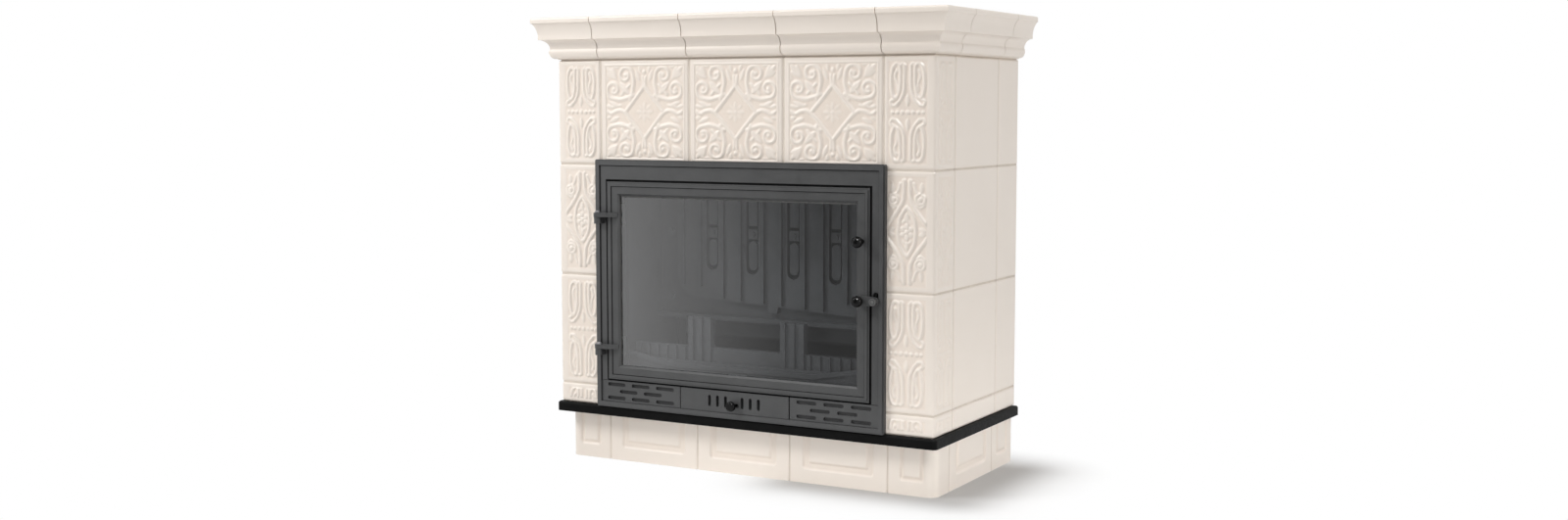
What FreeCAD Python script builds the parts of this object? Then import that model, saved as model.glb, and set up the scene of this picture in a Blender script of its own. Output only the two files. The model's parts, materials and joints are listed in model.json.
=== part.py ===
import FreeCAD, Part
import os
import re
import Sketcher

# Tiled fireplace with a cast-iron boiler insert.
# Frame: origin on the floor under the middle of the body, +X right, +Y to the back, +Z up.

VECTOR = FreeCAD.Vector
doc = FreeCAD.newDocument("tiled_fireplace")

# Driving dimensions, in millimetres and degrees.
SIZES = {
    # Tiled body and its rows
    "body_width": 896,
    "body_depth": 430,
    "plinth_height": 104,
    "band_height": 20,
    "low_row": 44,
    "mid_row": 240,
    "top_row": 224,
    "cornice_height": 90,
    "corner_front": 112,
    "corner_return": 94,
    "side_tile": 224,
    "tile_thick": 28,
    "tile_round": 5,
    "corner_round": 6,
    "joint_width": 2,
    "mortar_recess": 5,
    "relief_margin": 13,
    "relief_inset": 19,
    "relief_width": 5,
    "relief_height": 2,
    "board_thick": 25,
    # Plinth and ledge band
    "plinth_setback": 26,
    "plinth_inset": 7,
    "plinth_round": 20,
    "panel_margin": 29,
    "panel_low": 27,
    "panel_groove": 19,
    "panel_depth": 3,
    "panel_round": 8,
    "corner_margin": 24,
    "corner_groove": 12,
    "band_overhang": 8,
    "band_seat": 66,
    "band_flare": 3,
    "band_round": 9,
    # Cornice moulding and top plate
    "cornice_overhang": 42,
    "lip_height": 13,
    "lip_round": 5,
    "cove_height": 30,
    "cove_overhang": 30.5,
    "fillet_height": 4,
    "cavetto_height": 20,
    "neck_overhang": 12,
    "torus_height": 13,
    "ovolo_height": 7,
    "cornice_slab": 20,
    "cornice_shelf": 123,
    "plate_width": 730,
    "plate_inset": 155,
    "plate_thick": 3,
    "plate_corner": 16,
    "plate_hole_radius": 125,
    "flue_from_back": 162,
    # Front frame of the insert
    "frame_cover": 9,
    "frame_cover_top": 11,
    "frame_round": 4,
    "flange_thick": 10,
    "bead_width": 12,
    "bead_height": 3,
    "jamb_width": 29,
    "head_width": 43.5,
    "panel_zone": 59,
    "rebate_depth": 26,
    "floor_thick": 10,
    "duct_wall": 8,
    "land_width": 32,
    "rim_width": 4,
    "rim_height": 3.5,
    "lower_floor": 8,
    # Vent panels
    "vent_thick": 7.5,
    "vent_ledge": 7,
    "vent_edge": 15.25,
    "vent_bridge": 16.5,
    "vent_slot_height": 7.4,
    "vent_slot_depth": 4,
    "vent_hole_length": 13,
    "vent_row_pitch": 14.6,
    # Door
    "door_gap": 3,
    "door_proud": 2,
    "door_thick": 22,
    "stile_width": 30,
    "rail_width": 30,
    "door_bead_inset": 4,
    "door_bead_width": 6,
    "door_bead_height": 2,
    "pane_bevel": 4,
    "glass_thick": 5,
    "pane_lip": 6,
    "glass_lap": 5,
    "glass_gap": 0.5,
    "gasket_thick": 1.5,
    "gasket_width": 4.5,
    "seal_inset": 10,
    "seal_width": 9,
    "seal_groove": 5,
    "seal_round": 3,
    "clip_length": 40,
    "clip_margin": 0.5,
    "clip_thick": 2,
    "clip_screw_radius": 3,
    "clip_screw_height": 1,
    "screw_radius": 4,
    "screw_height": 2,
    # Hinges
    "hinge_inset": 15,
    "hinge_reach": 14,
    "hinge_eye_radius": 9,
    "hinge_pin_radius": 4,
    "hinge_head_radius": 6.5,
    "hinge_head_height": 4,
    "hinge_clearance": 0.05,
    "arm_thick": 9,
    "arm_length": 44,
    "arm_inset_top": 71.5,
    "arm_inset_low": 71,
    "lug_radius": 8,
    "lug_height": 14,
    "running_gap": 0.3,
    # Latch and pull knob
    "ball_radius": 11.5,
    "ball_reach": 22,
    "ball_stem_radius": 5,
    "knob_collar": 4,
    "latch_inset": 17,
    "latch_rise": 204,
    "pull_rise": 117,
    "stud_inset": 18,
    "stud_radius": 4.5,
    "stud_depth": 6,
    "stud_clearance": 1.2,
    "stud_lift": 10.6,
    "stud_shift": 1.9,
    "lever_thick": 7,
    "lever_lift": 4,
    "boss_radius": 8.5,
    "boss_proud": 5,
    "hub_radius": 10.5,
    "spindle_radius": 5,
    "spindle_depth": 10,
    "washer_radius": 6.5,
    # Ash drawer and air slide
    "ash_width": 260,
    "ash_front_thick": 8,
    "panel_gap": 1.5,
    "window_lip": 4,
    "air_slot_width": 6.8,
    "air_slot_height": 24,
    "air_slot_first": 20,
    "air_slot_pitch": 19.5,
    "slide_travel": 9,
    "slide_thick": 3,
    "slide_height": 28,
    "slide_length": 146,
    "rail_depth": 7,
    "rail_height": 4,
    "stem_radius": 3.5,
    "air_knob_radius": 10.5,
    "air_knob_reach": 19,
    "air_knob_drop": 6,
    "pan_depth": 220,
    "pan_wall": 1.5,
    "pan_side_gap": 6,
    "pan_height": 34,
    "runner_thick": 6,
    "runner_ledge": 10,
    "runner_gap": 1,
    # Firebox
    "base_thick": 6,
    "foot_radius": 16,
    "foot_stem_radius": 7,
    "foot_inset": 45,
    "foot_pad": 8,
    "lining_thick": 12,
    "lining_inset": 8,
    "jacket_depth": 170,
    "jacket_step": 65,
    "jacket_wall": 5,
    "jacket_clearance": 4,
    "socket_radius": 21,
    "socket_bore_radius": 15.2,
    "port_radius": 12,
    "socket_inset": 84,
    "flow_drop": 64,
    "return_rise": 70,
    "socket_setback": 3,
    "board_hole_radius": 32,
    "back_half_width": 240,
    "back_edge": 13,
    "back_thick": 12,
    "back_low_z": 357,
    "back_slant": 28,
    "back_corner": 50,
    "tab_width": 26,
    "tab_height": 14,
    "tab_taper": 3,
    "rib_width": 6,
    "rib_depth": 7,
    "rib_offset": 22,
    "rib_foot": 4,
    "oval_width": 30,
    "oval_low": 64,
    "oval_head": 10.5,
    "bridge_width": 23,
    "bridge_height": 21,
    "bridge_thick": 9,
    "bridge_z": 497,
    "bridge_bolt_radius": 6,
    "bridge_bolt_height": 3,
    "ledge_z": 316,
    "ledge_height": 10,
    "ledge_depth": 14,
    "bed_height": 46,
    "bed_rim_front": 38,
    "bed_rim_back": 24,
    "bed_rim_side": 30,
    "bed_fall": 26,
    "grate_width": 302,
    "grate_depth": 110,
    "grate_thick": 12,
    "grate_gap": 1,
    "grate_seat": 12,
    "grate_slot_width": 9,
    "grate_end": 31,
    "grate_margin": 16,
    "grate_bridge": 14,
    "guard_thick": 16,
    "guard_from_front": 10,
    "guard_side_gap": 14,
    "guard_post_x": 112,
    "guard_post_width": 56,
    "guard_post_height": 95,
    "guard_bar_height": 31,
    "guard_round": 8,
    "guard_flute_width": 12,
    "guard_flute_depth": 4,
    "wing_flute_width": 8,
    "lip_thick": 5,
    "lip_low": 12,
    "lip_high": 32,
    "lip_flat": 170,
    "lip_rail_width": 9,
    "lip_rail_depth": 3,
    "baffle_thick": 10,
    "baffle_below_top": 28,
    "baffle_depth": 70,
    "baffle_gap": 2,
    "baffle_lug": 18,
    "hood_height": 110,
    "hood_wall": 8,
    "hood_neck": 122,
    "collar_radius": 100,
    "pipe_stop": 6,
    "collar_wall": 6,
    "collar_height": 60,
    "collar_flange": 14,
    "collar_flange_thick": 8,
}

# Places and sizes that follow from the driving dimensions.
PLACES = {
    "side_x": "body_width / 2",
    "front_y": "-body_depth / 2",
    "back_y": "body_depth / 2",
    "opening_x": "side_x - corner_front",
    "field_width": "2 * opening_x / 3",
    "body_z": "plinth_height + band_height",
    "row3_z": "body_z + low_row",
    "row2_z": "row3_z + mid_row",
    "row1_z": "row2_z + mid_row",
    "cornice_z": "row1_z + top_row",
    "top_z": "cornice_z + cornice_height",
    "tile_back_y": "front_y + tile_thick",
    "tile_back_x": "side_x - tile_thick",
    "joint_1_y": "front_y + corner_return",
    "joint_2_y": "joint_1_y + side_tile",
    "half_joint": "joint_width / 2",
    "board_back_y": "tile_back_y + board_thick",
    "board_x": "tile_back_x - board_thick",
    "rear_board_y": "back_y - board_thick",
    "slab_z": "top_z - cornice_slab",
    "plinth_x": "side_x - plinth_inset",
    "plinth_y": "front_y + plinth_setback",
    "shelf_x": "opening_x + half_joint",
    "band_x": "side_x - band_seat + band_overhang",
    "flue_y": "back_y - flue_from_back",
    "frame_x": "opening_x + frame_cover",
    "frame_top": "row1_z + frame_cover_top",
    "face_y": "front_y - flange_thick",
    "recess_x": "frame_x - jamb_width",
    "recess_top": "frame_top - head_width",
    "recess_z": "body_z + panel_zone",
    "floor_y": "face_y + rebate_depth",
    "frame_back_y": "floor_y + floor_thick",
    "duct_x": "recess_x + duct_wall",
    "duct_top": "recess_top + duct_wall",
    "duct_z": "recess_z - duct_wall",
    "mouth_x": "recess_x - land_width",
    "mouth_z": "recess_z + land_width",
    "mouth_top": "recess_top - land_width",
    "panel_x": "frame_x - bead_width",
    "panel_z": "body_z + bead_width",
    "panel_y": "face_y + ash_front_thick",
    "vent_width": "panel_x - ash_x - 2 * panel_gap",
    "vent_slot_pitch": "(vent_width + vent_bridge - 2 * vent_edge) / 3",
    "vent_slot_length": "vent_slot_pitch - vent_bridge",
    "ash_y": "panel_y - running_gap",
    "door_x": "recess_x - door_gap",
    "door_z": "recess_z + door_gap",
    "door_top": "recess_top - door_gap",
    "door_face_y": "face_y - door_proud",
    "door_back_y": "door_face_y + door_thick",
    "pane_x": "door_x - stile_width",
    "pane_z": "door_z + rail_width",
    "pane_top": "door_top - rail_width",
    "glass_x": "pane_x + glass_lap",
    "glass_z": "pane_z - glass_lap",
    "glass_top": "pane_top + glass_lap",
    "rebate_y": "door_face_y + pane_lip",
    "glass_y": "rebate_y + gasket_thick",
    "glass_back_y": "glass_y + glass_thick",
    "seal_out": "seal_inset - seal_width / 2",
    "seal_in": "seal_inset + seal_width / 2",
    "hinge_x": "-(frame_x - hinge_inset)",
    "hinge_y": "face_y - hinge_reach",
    "arm_high_z": "door_top - arm_inset_top",
    "arm_low_z": "door_z + arm_inset_low",
    "latch_x": "door_x - latch_inset",
    "latch_z": "door_z + latch_rise",
    "stud_x": "frame_x - stud_inset",
    "lever_y": "door_face_y - lever_lift",
    "ball_y": "door_face_y - ball_reach",
    "ash_x": "ash_width / 2",
    "window_x": "ash_x - window_lip",
    "window_z": "panel_z + window_lip",
    "window_top": "recess_z - window_lip",
    "slide_z": "(panel_z + recess_z - slide_height) / 2",
    "slide_mid_z": "slide_z + slide_height / 2",
    "slide_y": "ash_y + running_gap",
    "pan_x": "window_x - pan_side_gap",
    "pan_y": "ash_y + rail_depth",
    "pan_z": "window_z + running_gap",
    "base_z": "body_z + base_thick",
    "jacket_back_y": "rear_board_y - jacket_clearance",
    "jacket_y": "jacket_back_y - jacket_depth",
    "lining_x": "mouth_x + lining_inset",
    "shell_x": "lining_x + lining_thick",
    "bed_z": "recess_z + door_gap",
    "bed_top": "bed_z + bed_height",
    "hang_y": "jacket_y - jacket_step",
    "step_z": "ledge_z - ledge_height",
    "back_y0": "hang_y - back_thick",
    "rib_y": "back_y0 - rib_depth",
    "oval_pitch": "(back_half_width - back_edge - rib_offset - rib_width / 2) / 2",
    "grate_slot_pitch": "(grate_width - 2 * grate_end) / 12",
    "grate_y": "(frame_back_y + bed_rim_front + jacket_y - bed_rim_back) / 2",
    "baffle_z": "duct_top - baffle_below_top",
    "hood_top": "duct_top + hood_height",
    "socket_x": "shell_x - socket_inset",
    "flow_z": "duct_top - flow_drop",
    "return_z": "base_z + return_rise",
}

NAME = re.compile(r"[A-Za-z_][A-Za-z_0-9]*")


def expr(text):
    """Write named sizes and places out as an expression on the sheet's cells."""
    def swap(match):
        word = match.group(0)
        if word in PLACES:
            return "(" + expr(PLACES[word]) + ")"
        return "dims." + word if word in SIZES else word
    return NAME.sub(swap, str(text))


def fill_sheet():
    sheet = doc.addObject("Spreadsheet::Sheet", "dims")
    for row, (alias, size) in enumerate(SIZES.items(), start=1):
        sheet.set(f"A{row}", alias)
        sheet.set(f"B{row}", str(size))
        sheet.setAlias(f"B{row}", alias)
    doc.recompute()
    return sheet


dims = fill_sheet()
nodes = {}


def value(text):
    return float(dims.evalExpression(expr(text)))


def keep(label, shape_object):
    """Name a finished sub-part; its label becomes its file name."""
    shape_object.Label = label
    nodes[label] = shape_object
    return shape_object


def place(shape_object, at, turn=0):
    shape_object.Placement = FreeCAD.Placement(VECTOR(), FreeCAD.Rotation(VECTOR(0, 0, 1), turn))
    for axis, text in zip("xyz", at):
        shape_object.setExpression(f"Placement.Base.{axis}", expr(text))


def new_body(name, at=(0, 0, 0), turn=0):
    body = doc.addObject("PartDesign::Body", name)
    place(body, at, turn)
    return body


def sketch(body, plane, offset="0"):
    """Sketch on one of the body's origin planes, moved along its normal (XZ: towards the front)."""
    support = [item for item in body.Origin.OriginFeatures if item.Role == plane + "_Plane"][0]
    drawing = body.newObject("Sketcher::SketchObject", "outline")
    drawing.AttachmentSupport = (support, "")
    drawing.MapMode = "FlatFace"
    drawing.setExpression("AttachmentOffset.Base.z", expr(offset))
    return drawing


def bind(drawing, kind, geometry, position, text):
    rule = Sketcher.Constraint(kind, -1, 1, geometry, position, value(text))
    drawing.setExpression(f"Constraints[{drawing.addConstraint(rule)}]", expr(text))


def outline(drawing, points):
    """Closed line of corners (x, y); a third value bulges the next side into an arc, as in DXF."""
    spots = [VECTOR(value(point[0]), value(point[1]), 0) for point in points]
    sides = []
    for index, point in enumerate(points):
        start = spots[index]
        stop = spots[(index + 1) % len(points)]
        bulge = point[2] if len(point) > 2 else 0
        middle = (start + stop) / 2 + VECTOR(stop.y - start.y, start.x - stop.x, 0) * (bulge / 2)
        if bulge > 0:
            sides.append((drawing.addGeometry(Part.Arc(start, middle, stop)), 1, 2))
        elif bulge < 0:
            sides.append((drawing.addGeometry(Part.Arc(stop, middle, start)), 2, 1))
        else:
            sides.append((drawing.addGeometry(Part.LineSegment(start, stop)), 1, 2))
    for index, point in enumerate(points):
        geometry, first, last = sides[index]
        following = sides[(index + 1) % len(points)]
        drawing.addConstraint(Sketcher.Constraint("Coincident", geometry, last, following[0], following[1]))
        bind(drawing, "DistanceX", geometry, first, point[0])
        bind(drawing, "DistanceY", geometry, first, point[1])
        if len(point) > 2 and point[2]:
            shape_arc(drawing, geometry, point, points[(index + 1) % len(points)])


def shape_arc(drawing, geometry, start, stop):
    """Fix an arc between two placed corners: a half circle by its centre, any other by its radius."""
    bulge = abs(start[2])
    upright = abs(value(start[0]) - value(stop[0])) < abs(value(start[1]) - value(stop[1]))
    if bulge == 1 and upright:
        bind(drawing, "DistanceX", geometry, 3, start[0])
    elif bulge == 1:
        bind(drawing, "DistanceY", geometry, 3, start[1])
    else:
        run = f"(({stop[0]}) - ({start[0]}))"
        rise = f"(({stop[1]}) - ({start[1]}))"
        radius = f"sqrt({run} * {run} + {rise} * {rise}) * {(1 + bulge ** 2) / (4 * bulge)}"
        rule = Sketcher.Constraint("Radius", geometry, value(radius))
        drawing.setExpression(f"Constraints[{drawing.addConstraint(rule)}]", expr(radius))


def rectangle(drawing, across, up):
    outline(drawing, [(across[0], up[0]), (across[1], up[0]), (across[1], up[1]), (across[0], up[1])])


def ring(drawing, across, up, inset):
    """Rectangular band whose inner edge lies a given inset inside its outer edge."""
    rectangle(drawing, across, up)
    rectangle(drawing, (f"{across[0]} + ({inset})", f"{across[1]} - ({inset})"),
              (f"{up[0]} + ({inset})", f"{up[1]} - ({inset})"))


def circle(drawing, across, up, radius):
    spot = VECTOR(value(across), value(up), 0)
    geometry = drawing.addGeometry(Part.Circle(spot, VECTOR(0, 0, 1), value(radius)))
    bind(drawing, "DistanceX", geometry, 3, across)
    bind(drawing, "DistanceY", geometry, 3, up)
    rule = Sketcher.Constraint("Radius", geometry, value(radius))
    drawing.setExpression(f"Constraints[{drawing.addConstraint(rule)}]", expr(radius))


def flat_slot(drawing, across, up, length, width):
    """Round-ended slot lying along the sketch's X."""
    left = f"{across} - ({length} - {width}) / 2"
    right = f"{across} + ({length} - {width}) / 2"
    low = f"{up} - {width} / 2"
    high = f"{up} + {width} / 2"
    outline(drawing, [(left, low), (right, low, 1), (right, high), (left, high, 1)])


def tall_slot(drawing, across, up, length, width):
    """Round-ended slot standing along the sketch's Y."""
    left = f"{across} - {width} / 2"
    right = f"{across} + {width} / 2"
    low = f"{up} - ({length} - {width}) / 2"
    high = f"{up} + ({length} - {width}) / 2"
    outline(drawing, [(left, high), (left, low, 1), (right, low), (right, high, 1)])


def feature(body, kind, drawing, length, back=False):
    step = body.newObject("PartDesign::" + kind, kind.lower())
    step.Profile = drawing
    step.setExpression("Length", expr(length))
    step.Reversed = back
    return step


def pad(body, drawing, length, back=False):
    return feature(body, "Pad", drawing, length, back)


def pocket(body, drawing, length, back=False):
    return feature(body, "Pocket", drawing, length, back)


def turned(body, drawing):
    """Solid of revolution about the sketch's vertical axis."""
    step = body.newObject("PartDesign::Revolution", "turning")
    step.Profile = drawing
    step.ReferenceAxis = (drawing, ["V_Axis"])
    step.Angle = 360
    return step


def repeat(body, original, drawing, axis, length, count):
    """Row of equal features along a sketch axis."""
    step = body.newObject("PartDesign::LinearPattern", "row")
    step.Originals = [original]
    step.Direction = (drawing, [axis])
    step.setExpression("Length", expr(length))
    step.Occurrences = count
    body.Tip = step
    return step


def round_edges(body, radius, choose):
    doc.recompute()
    base = body.Tip
    names = [f"Edge{number}" for number, edge in enumerate(base.Shape.Edges, start=1) if choose(edge)]
    step = body.newObject("PartDesign::Fillet", "rounding")
    step.Base = (base, names)
    step.setExpression("Radius", expr(radius))
    return step


def bevel_edges(body, size, choose):
    doc.recompute()
    base = body.Tip
    names = [f"Edge{number}" for number, edge in enumerate(base.Shape.Edges, start=1) if choose(edge)]
    step = body.newObject("PartDesign::Chamfer", "bevel")
    step.Base = (base, names)
    step.setExpression("Size", expr(size))
    return step


def lies_at(edge, axis, place_text):
    """True for an edge with both ends on a plane square to an axis (0, 1, 2 for X, Y, Z)."""
    level = value(place_text)
    return all(abs(vertex.Point[axis] - level) < 0.01 for vertex in edge.Vertexes)


def runs_along(edge, axis):
    if len(edge.Vertexes) < 2:
        return False
    span = edge.Vertexes[1].Point - edge.Vertexes[0].Point
    return abs(abs(span[axis]) - span.Length) < 0.001


def block(name, x, y, z):
    """Plain board between low and high places on the three axes."""
    board = doc.addObject("Part::Box", name)
    for prop, ends in zip(("Length", "Width", "Height"), (x, y, z)):
        board.setExpression(prop, expr(f"({ends[1]}) - ({ends[0]})"))
    place(board, (x[0], y[0], z[0]))
    return board


def rod(name, radius, start, length, axis):
    """Round bar from a start point along +X, +Y or +Z."""
    bar = doc.addObject("Part::Cylinder", name)
    bar.setExpression("Radius", expr(radius))
    bar.setExpression("Height", expr(length))
    place(bar, start)
    tilt = {"x": (VECTOR(0, 1, 0), 90), "y": (VECTOR(1, 0, 0), -90), "z": (VECTOR(0, 0, 1), 0)}[axis]
    bar.Placement.Rotation = FreeCAD.Rotation(*tilt)
    return bar


def cut(name, base, tools):
    result = base
    for tool in tools:
        step = doc.addObject("Part::Cut", name)
        step.Base = result
        step.Tool = tool
        result = step
    return result


def fuse(name, members):
    result = doc.addObject("Part::MultiFuse", name)
    result.Shapes = members
    return result


def group(label, members):
    """Several like pieces that share one node."""
    result = doc.addObject("Part::Compound", label)
    result.Links = members
    return keep(label, result)


def mirrored(label, source):
    """Right-hand copy of a left-hand piece."""
    result = doc.addObject("Part::Mirroring", label)
    result.Source = source
    result.Normal = VECTOR(1, 0, 0)
    return keep(label, result)


# Glazed tiles

def flat_tile(name, width, height, at, turn=0, relief=False):
    """Tile with a pillowed face towards its own -Y and, on ornamented tiles, a raised border line."""
    body = new_body(name, at, turn)
    drawing = sketch(body, "XZ")
    rectangle(drawing, ("0", width), ("0", height))
    pad(body, drawing, "tile_thick", back=True)
    round_edges(body, "tile_round", lambda edge: lies_at(edge, 1, "0"))
    if relief:
        border = sketch(body, "XZ")
        ring(border, ("relief_margin", f"{width} - relief_margin"),
             ("relief_margin", f"{height} - relief_margin"), "relief_width")
        pad(body, border, "relief_height")
    return body


def corner_tile(name, front, side, height, at, rounding, relief=False):
    """L-shaped tile round the left front corner, origin at its outer corner."""
    body = new_body(name, at)
    drawing = sketch(body, "XY")
    outline(drawing, [("0", "0"), (front, "0"), (front, "tile_thick"), ("tile_thick", "tile_thick"),
                      ("tile_thick", side), ("0", side)])
    pad(body, drawing, height)
    round_edges(body, rounding,
                lambda edge: runs_along(edge, 2) and lies_at(edge, 0, "0") and lies_at(edge, 1, "0"))
    inner = value("tile_thick") / 2

    def on_faces(edge):
        spots = [vertex.Point for vertex in edge.Vertexes]
        outer = all(min(spot.x, spot.y) < inner for spot in spots)
        level = lies_at(edge, 2, "0") or lies_at(edge, 2, height)
        cross = all(min(spot.x, spot.y) < 0.01 or max(spot.x, spot.y) < value(rounding) for spot in spots)
        return outer and level and cross

    round_edges(body, "tile_round", on_faces)
    if relief:
        margin = "relief_margin + tile_round"
        front_line = sketch(body, "XZ")
        ring(front_line, ("relief_inset", f"{front} - relief_margin"),
             (margin, f"{height} - ({margin})"), "relief_width")
        pad(body, front_line, "relief_height")
        side_line = sketch(body, "YZ")
        ring(side_line, ("relief_inset", f"{side} - relief_margin"),
             (margin, f"{height} - ({margin})"), "relief_width")
        pad(body, side_line, "relief_height", back=True)
    return body


ROWS = (("row1", "row1_z", "top_row"), ("row2", "row2_z", "mid_row"),
        ("row3", "row3_z", "mid_row"), ("row4", "body_z", "low_row"))
FIELDS = (("left", "-opening_x"), ("mid", "-field_width / 2"), ("right", "field_width / 2"))


def make_body_tiles():
    corners = []
    sides = []
    for row, low, height in ROWS:
        tall = f"{height} - joint_width"
        base = f"{low} + half_joint"
        corners.append(corner_tile(f"corner_{row}", "corner_front - half_joint", "corner_return - half_joint",
                                   tall, ("-side_x", "front_y", base), "corner_round",
                                   relief=row != "row4"))
        sides.append(flat_tile(f"side_{row}", "side_tile - joint_width", tall,
                               ("-side_x", "joint_2_y - half_joint", base), turn=-90))
        sides.append(flat_tile(f"strip_{row}", "back_y - joint_2_y - half_joint", tall,
                               ("-side_x", "back_y", base), turn=-90))
    mirrored("corner_tiles_right", group("corner_tiles_left", corners))
    mirrored("side_tiles_right", group("side_tiles_left", sides))
    for spot, start in FIELDS:
        tile = flat_tile(f"field_{spot}", "field_width - joint_width", "top_row - joint_width",
                         (f"{start} + half_joint", "front_y", "row1_z + half_joint"), relief=True)
        keep(f"field_tile_{spot}", tile)


def sink_panel(body, width, height, margin, groove):
    """Moulded panel on a plinth tile: a sunk line on three sides of a flat field, open at the top."""
    right = f"{width} - {margin}"
    inner_right = f"{width} - {margin} - {groove}"
    line = sketch(body, "XZ")
    outline(line, [(margin, height), (margin, "panel_low + panel_round", 0.4142),
                   (f"{margin} + panel_round", "panel_low"), (f"{right} - panel_round", "panel_low", 0.4142),
                   (right, "panel_low + panel_round"), (right, height), (inner_right, height),
                   (inner_right, f"panel_low + {groove}"), (f"{margin} + {groove}", f"panel_low + {groove}"),
                   (f"{margin} + {groove}", height)])
    pocket(body, line, "panel_depth")


def make_plinth():
    tall = "plinth_height - half_joint"
    fronts = []
    for name, start in FIELDS:
        width = "field_width - joint_width"
        tile = flat_tile(f"plinth_{name}", width, tall, (f"{start} + half_joint", "plinth_y", "0"))
        sink_panel(tile, width, tall, "panel_margin", "panel_groove")
        fronts.append(tile)
    group("plinth_front", fronts)
    front = "corner_front - plinth_inset - half_joint"
    side = "joint_1_y - plinth_y - half_joint"
    corner = corner_tile("plinth_corner", front, side, tall, ("-plinth_x", "plinth_y", "0"), "plinth_round")
    sink_panel(corner, front, tall, "corner_margin", "corner_groove")
    mirrored("plinth_corner_right", keep("plinth_corner_left", corner))
    sides = []
    long_tile = ("panel", "joint_2_y - half_joint", "side_tile - joint_width")
    short_tile = ("corner", "back_y", "back_y - joint_2_y - half_joint")
    for kind, start, width in (long_tile, short_tile):
        tile = flat_tile(f"plinth_side_{kind}", width, tall, ("-plinth_x", start, "0"), turn=-90)
        sink_panel(tile, width, tall, f"{kind}_margin", f"{kind}_groove")
        sides.append(tile)
    mirrored("plinth_side_right", group("plinth_side_left", sides))
    keep("base_slab", block("base_slab", ("-(plinth_x - tile_thick)", "plinth_x - tile_thick"),
                            ("plinth_y + tile_thick", "back_y"), ("0", "plinth_height")))


def make_band():
    """Black ledge strip round three sides, flaring a little to its lower edge."""
    body = new_body("ledge_band")
    drawing = sketch(body, "XY", "plinth_height")
    out_x = "side_x + band_overhang"
    out_y = "front_y - band_overhang"
    in_x = "band_x"
    in_y = "front_y + band_seat"
    outline(drawing, [(f"-({out_x})", out_y), (out_x, out_y), (out_x, "back_y"), (in_x, "back_y"),
                      (in_x, in_y), (f"-({in_x})", in_y), (f"-({in_x})", "back_y"),
                      (f"-({out_x})", "back_y")])
    pad(body, drawing, "band_height")
    round_edges(body, "band_round", lambda edge: runs_along(edge, 2) and lies_at(edge, 1, out_y))
    low_x = value(out_x) - 2 * value("band_round")
    low_y = value(out_y) + 2 * value("band_round")

    def on_rim(edge):
        spots = [vertex.Point for vertex in edge.Vertexes]
        return lies_at(edge, 2, "body_z") and all(abs(s.x) > low_x or s.y < low_y for s in spots) \
            and not runs_along_back(edge)

    def runs_along_back(edge):
        return lies_at(edge, 1, "back_y")

    bevel_edges(body, "band_flare", on_rim)
    keep("ledge_band", body)


# Cornice

def moulding(shelf, solid):
    """Cornice section as (distance behind the body's face, height above the cornice's foot)."""
    cove_z = "cornice_height - lip_height - cove_height"
    fillet_z = f"{cove_z} - fillet_height"
    cavetto_z = f"{fillet_z} - cavetto_height"
    torus_z = f"{cavetto_z} - torus_height"
    ovolo_z = f"{torus_z} - ovolo_height"
    face = [
        ("-cornice_overhang + lip_round", "cornice_height", 0.4142),
        ("-cornice_overhang", "cornice_height - lip_round"),
        ("-cornice_overhang", "cornice_height - lip_height + lip_round / 2", 0.4142),
        ("-cornice_overhang + lip_round / 2", "cornice_height - lip_height", -0.18),
        ("-cove_overhang", cove_z),
        ("-cove_overhang", fillet_z, -0.4142),
        ("-neck_overhang", cavetto_z, 0.28),
        ("-neck_overhang", torus_z, 0.4142),
        ("0", ovolo_z),
        ("0", "half_joint"),
    ]
    if solid:
        back = [(shelf, "half_joint")]
    else:
        back = [("tile_thick", "half_joint"), ("tile_thick", "cornice_height - cornice_slab"),
                (shelf, "cornice_height - cornice_slab")]
    return face + back + [(shelf, "cornice_height")]


def cornice_length(name, length, at, turn=0, shelf="cornice_shelf", solid=False):
    body = new_body(name, at, turn)
    drawing = sketch(body, "YZ")
    outline(drawing, moulding(shelf, solid))
    pad(body, drawing, length)
    return body


def make_cornice():
    fronts = []
    for name, start in FIELDS:
        fronts.append(cornice_length(f"cornice_{name}", "field_width - joint_width",
                                     (f"{start} + half_joint", "front_y", "cornice_z")))
    group("cornice_front", fronts)
    sides = []
    for name, start, length in (("long", "joint_2_y - half_joint", "side_tile - joint_width"),
                                ("short", "back_y", "back_y - joint_2_y - half_joint")):
        sides.append(cornice_length(f"cornice_side_{name}", length, ("-side_x", start, "cornice_z"),
                                    turn=-90, shelf="corner_front - half_joint"))
    mirrored("cornice_side_right", group("cornice_side_left", sides))
    along = cornice_length("cornice_run", "corner_front + cornice_overhang - half_joint",
                           ("-side_x - cornice_overhang", "front_y", "cornice_z"), solid=True)
    across = cornice_length("cornice_return", "corner_return + cornice_overhang - half_joint",
                            ("-side_x", "joint_1_y - half_joint", "cornice_z"), turn=-90, solid=True)
    mitre = doc.addObject("Part::Common", "cornice_mitre")
    mitre.Base = along
    mitre.Tool = across
    hollow = block("cornice_hollow", ("-tile_back_x", "-opening_x"), ("tile_back_y", "joint_1_y"),
                   ("cornice_z", "slab_z"))
    corner = cut("cornice_corner_left", mitre, [hollow])
    mirrored("cornice_corner_right", keep("cornice_corner_left", corner))


def make_top_plate():
    body = new_body("top_plate", ("0", "0", "top_z"))
    drawing = sketch(body, "XY")
    half = "plate_width / 2"
    low = "front_y - cornice_overhang + plate_inset"
    outline(drawing, [(f"-{half} + plate_corner", low), (f"{half} - plate_corner", low, 0.4142),
                      (half, f"{low} + plate_corner"), (half, "back_y"), (f"-{half}", "back_y"),
                      (f"-{half}", f"{low} + plate_corner", 0.4142)])
    circle(drawing, "0", "flue_y", "plate_hole_radius")
    pad(body, drawing, "plate_thick")
    keep("top_plate", body)


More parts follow.
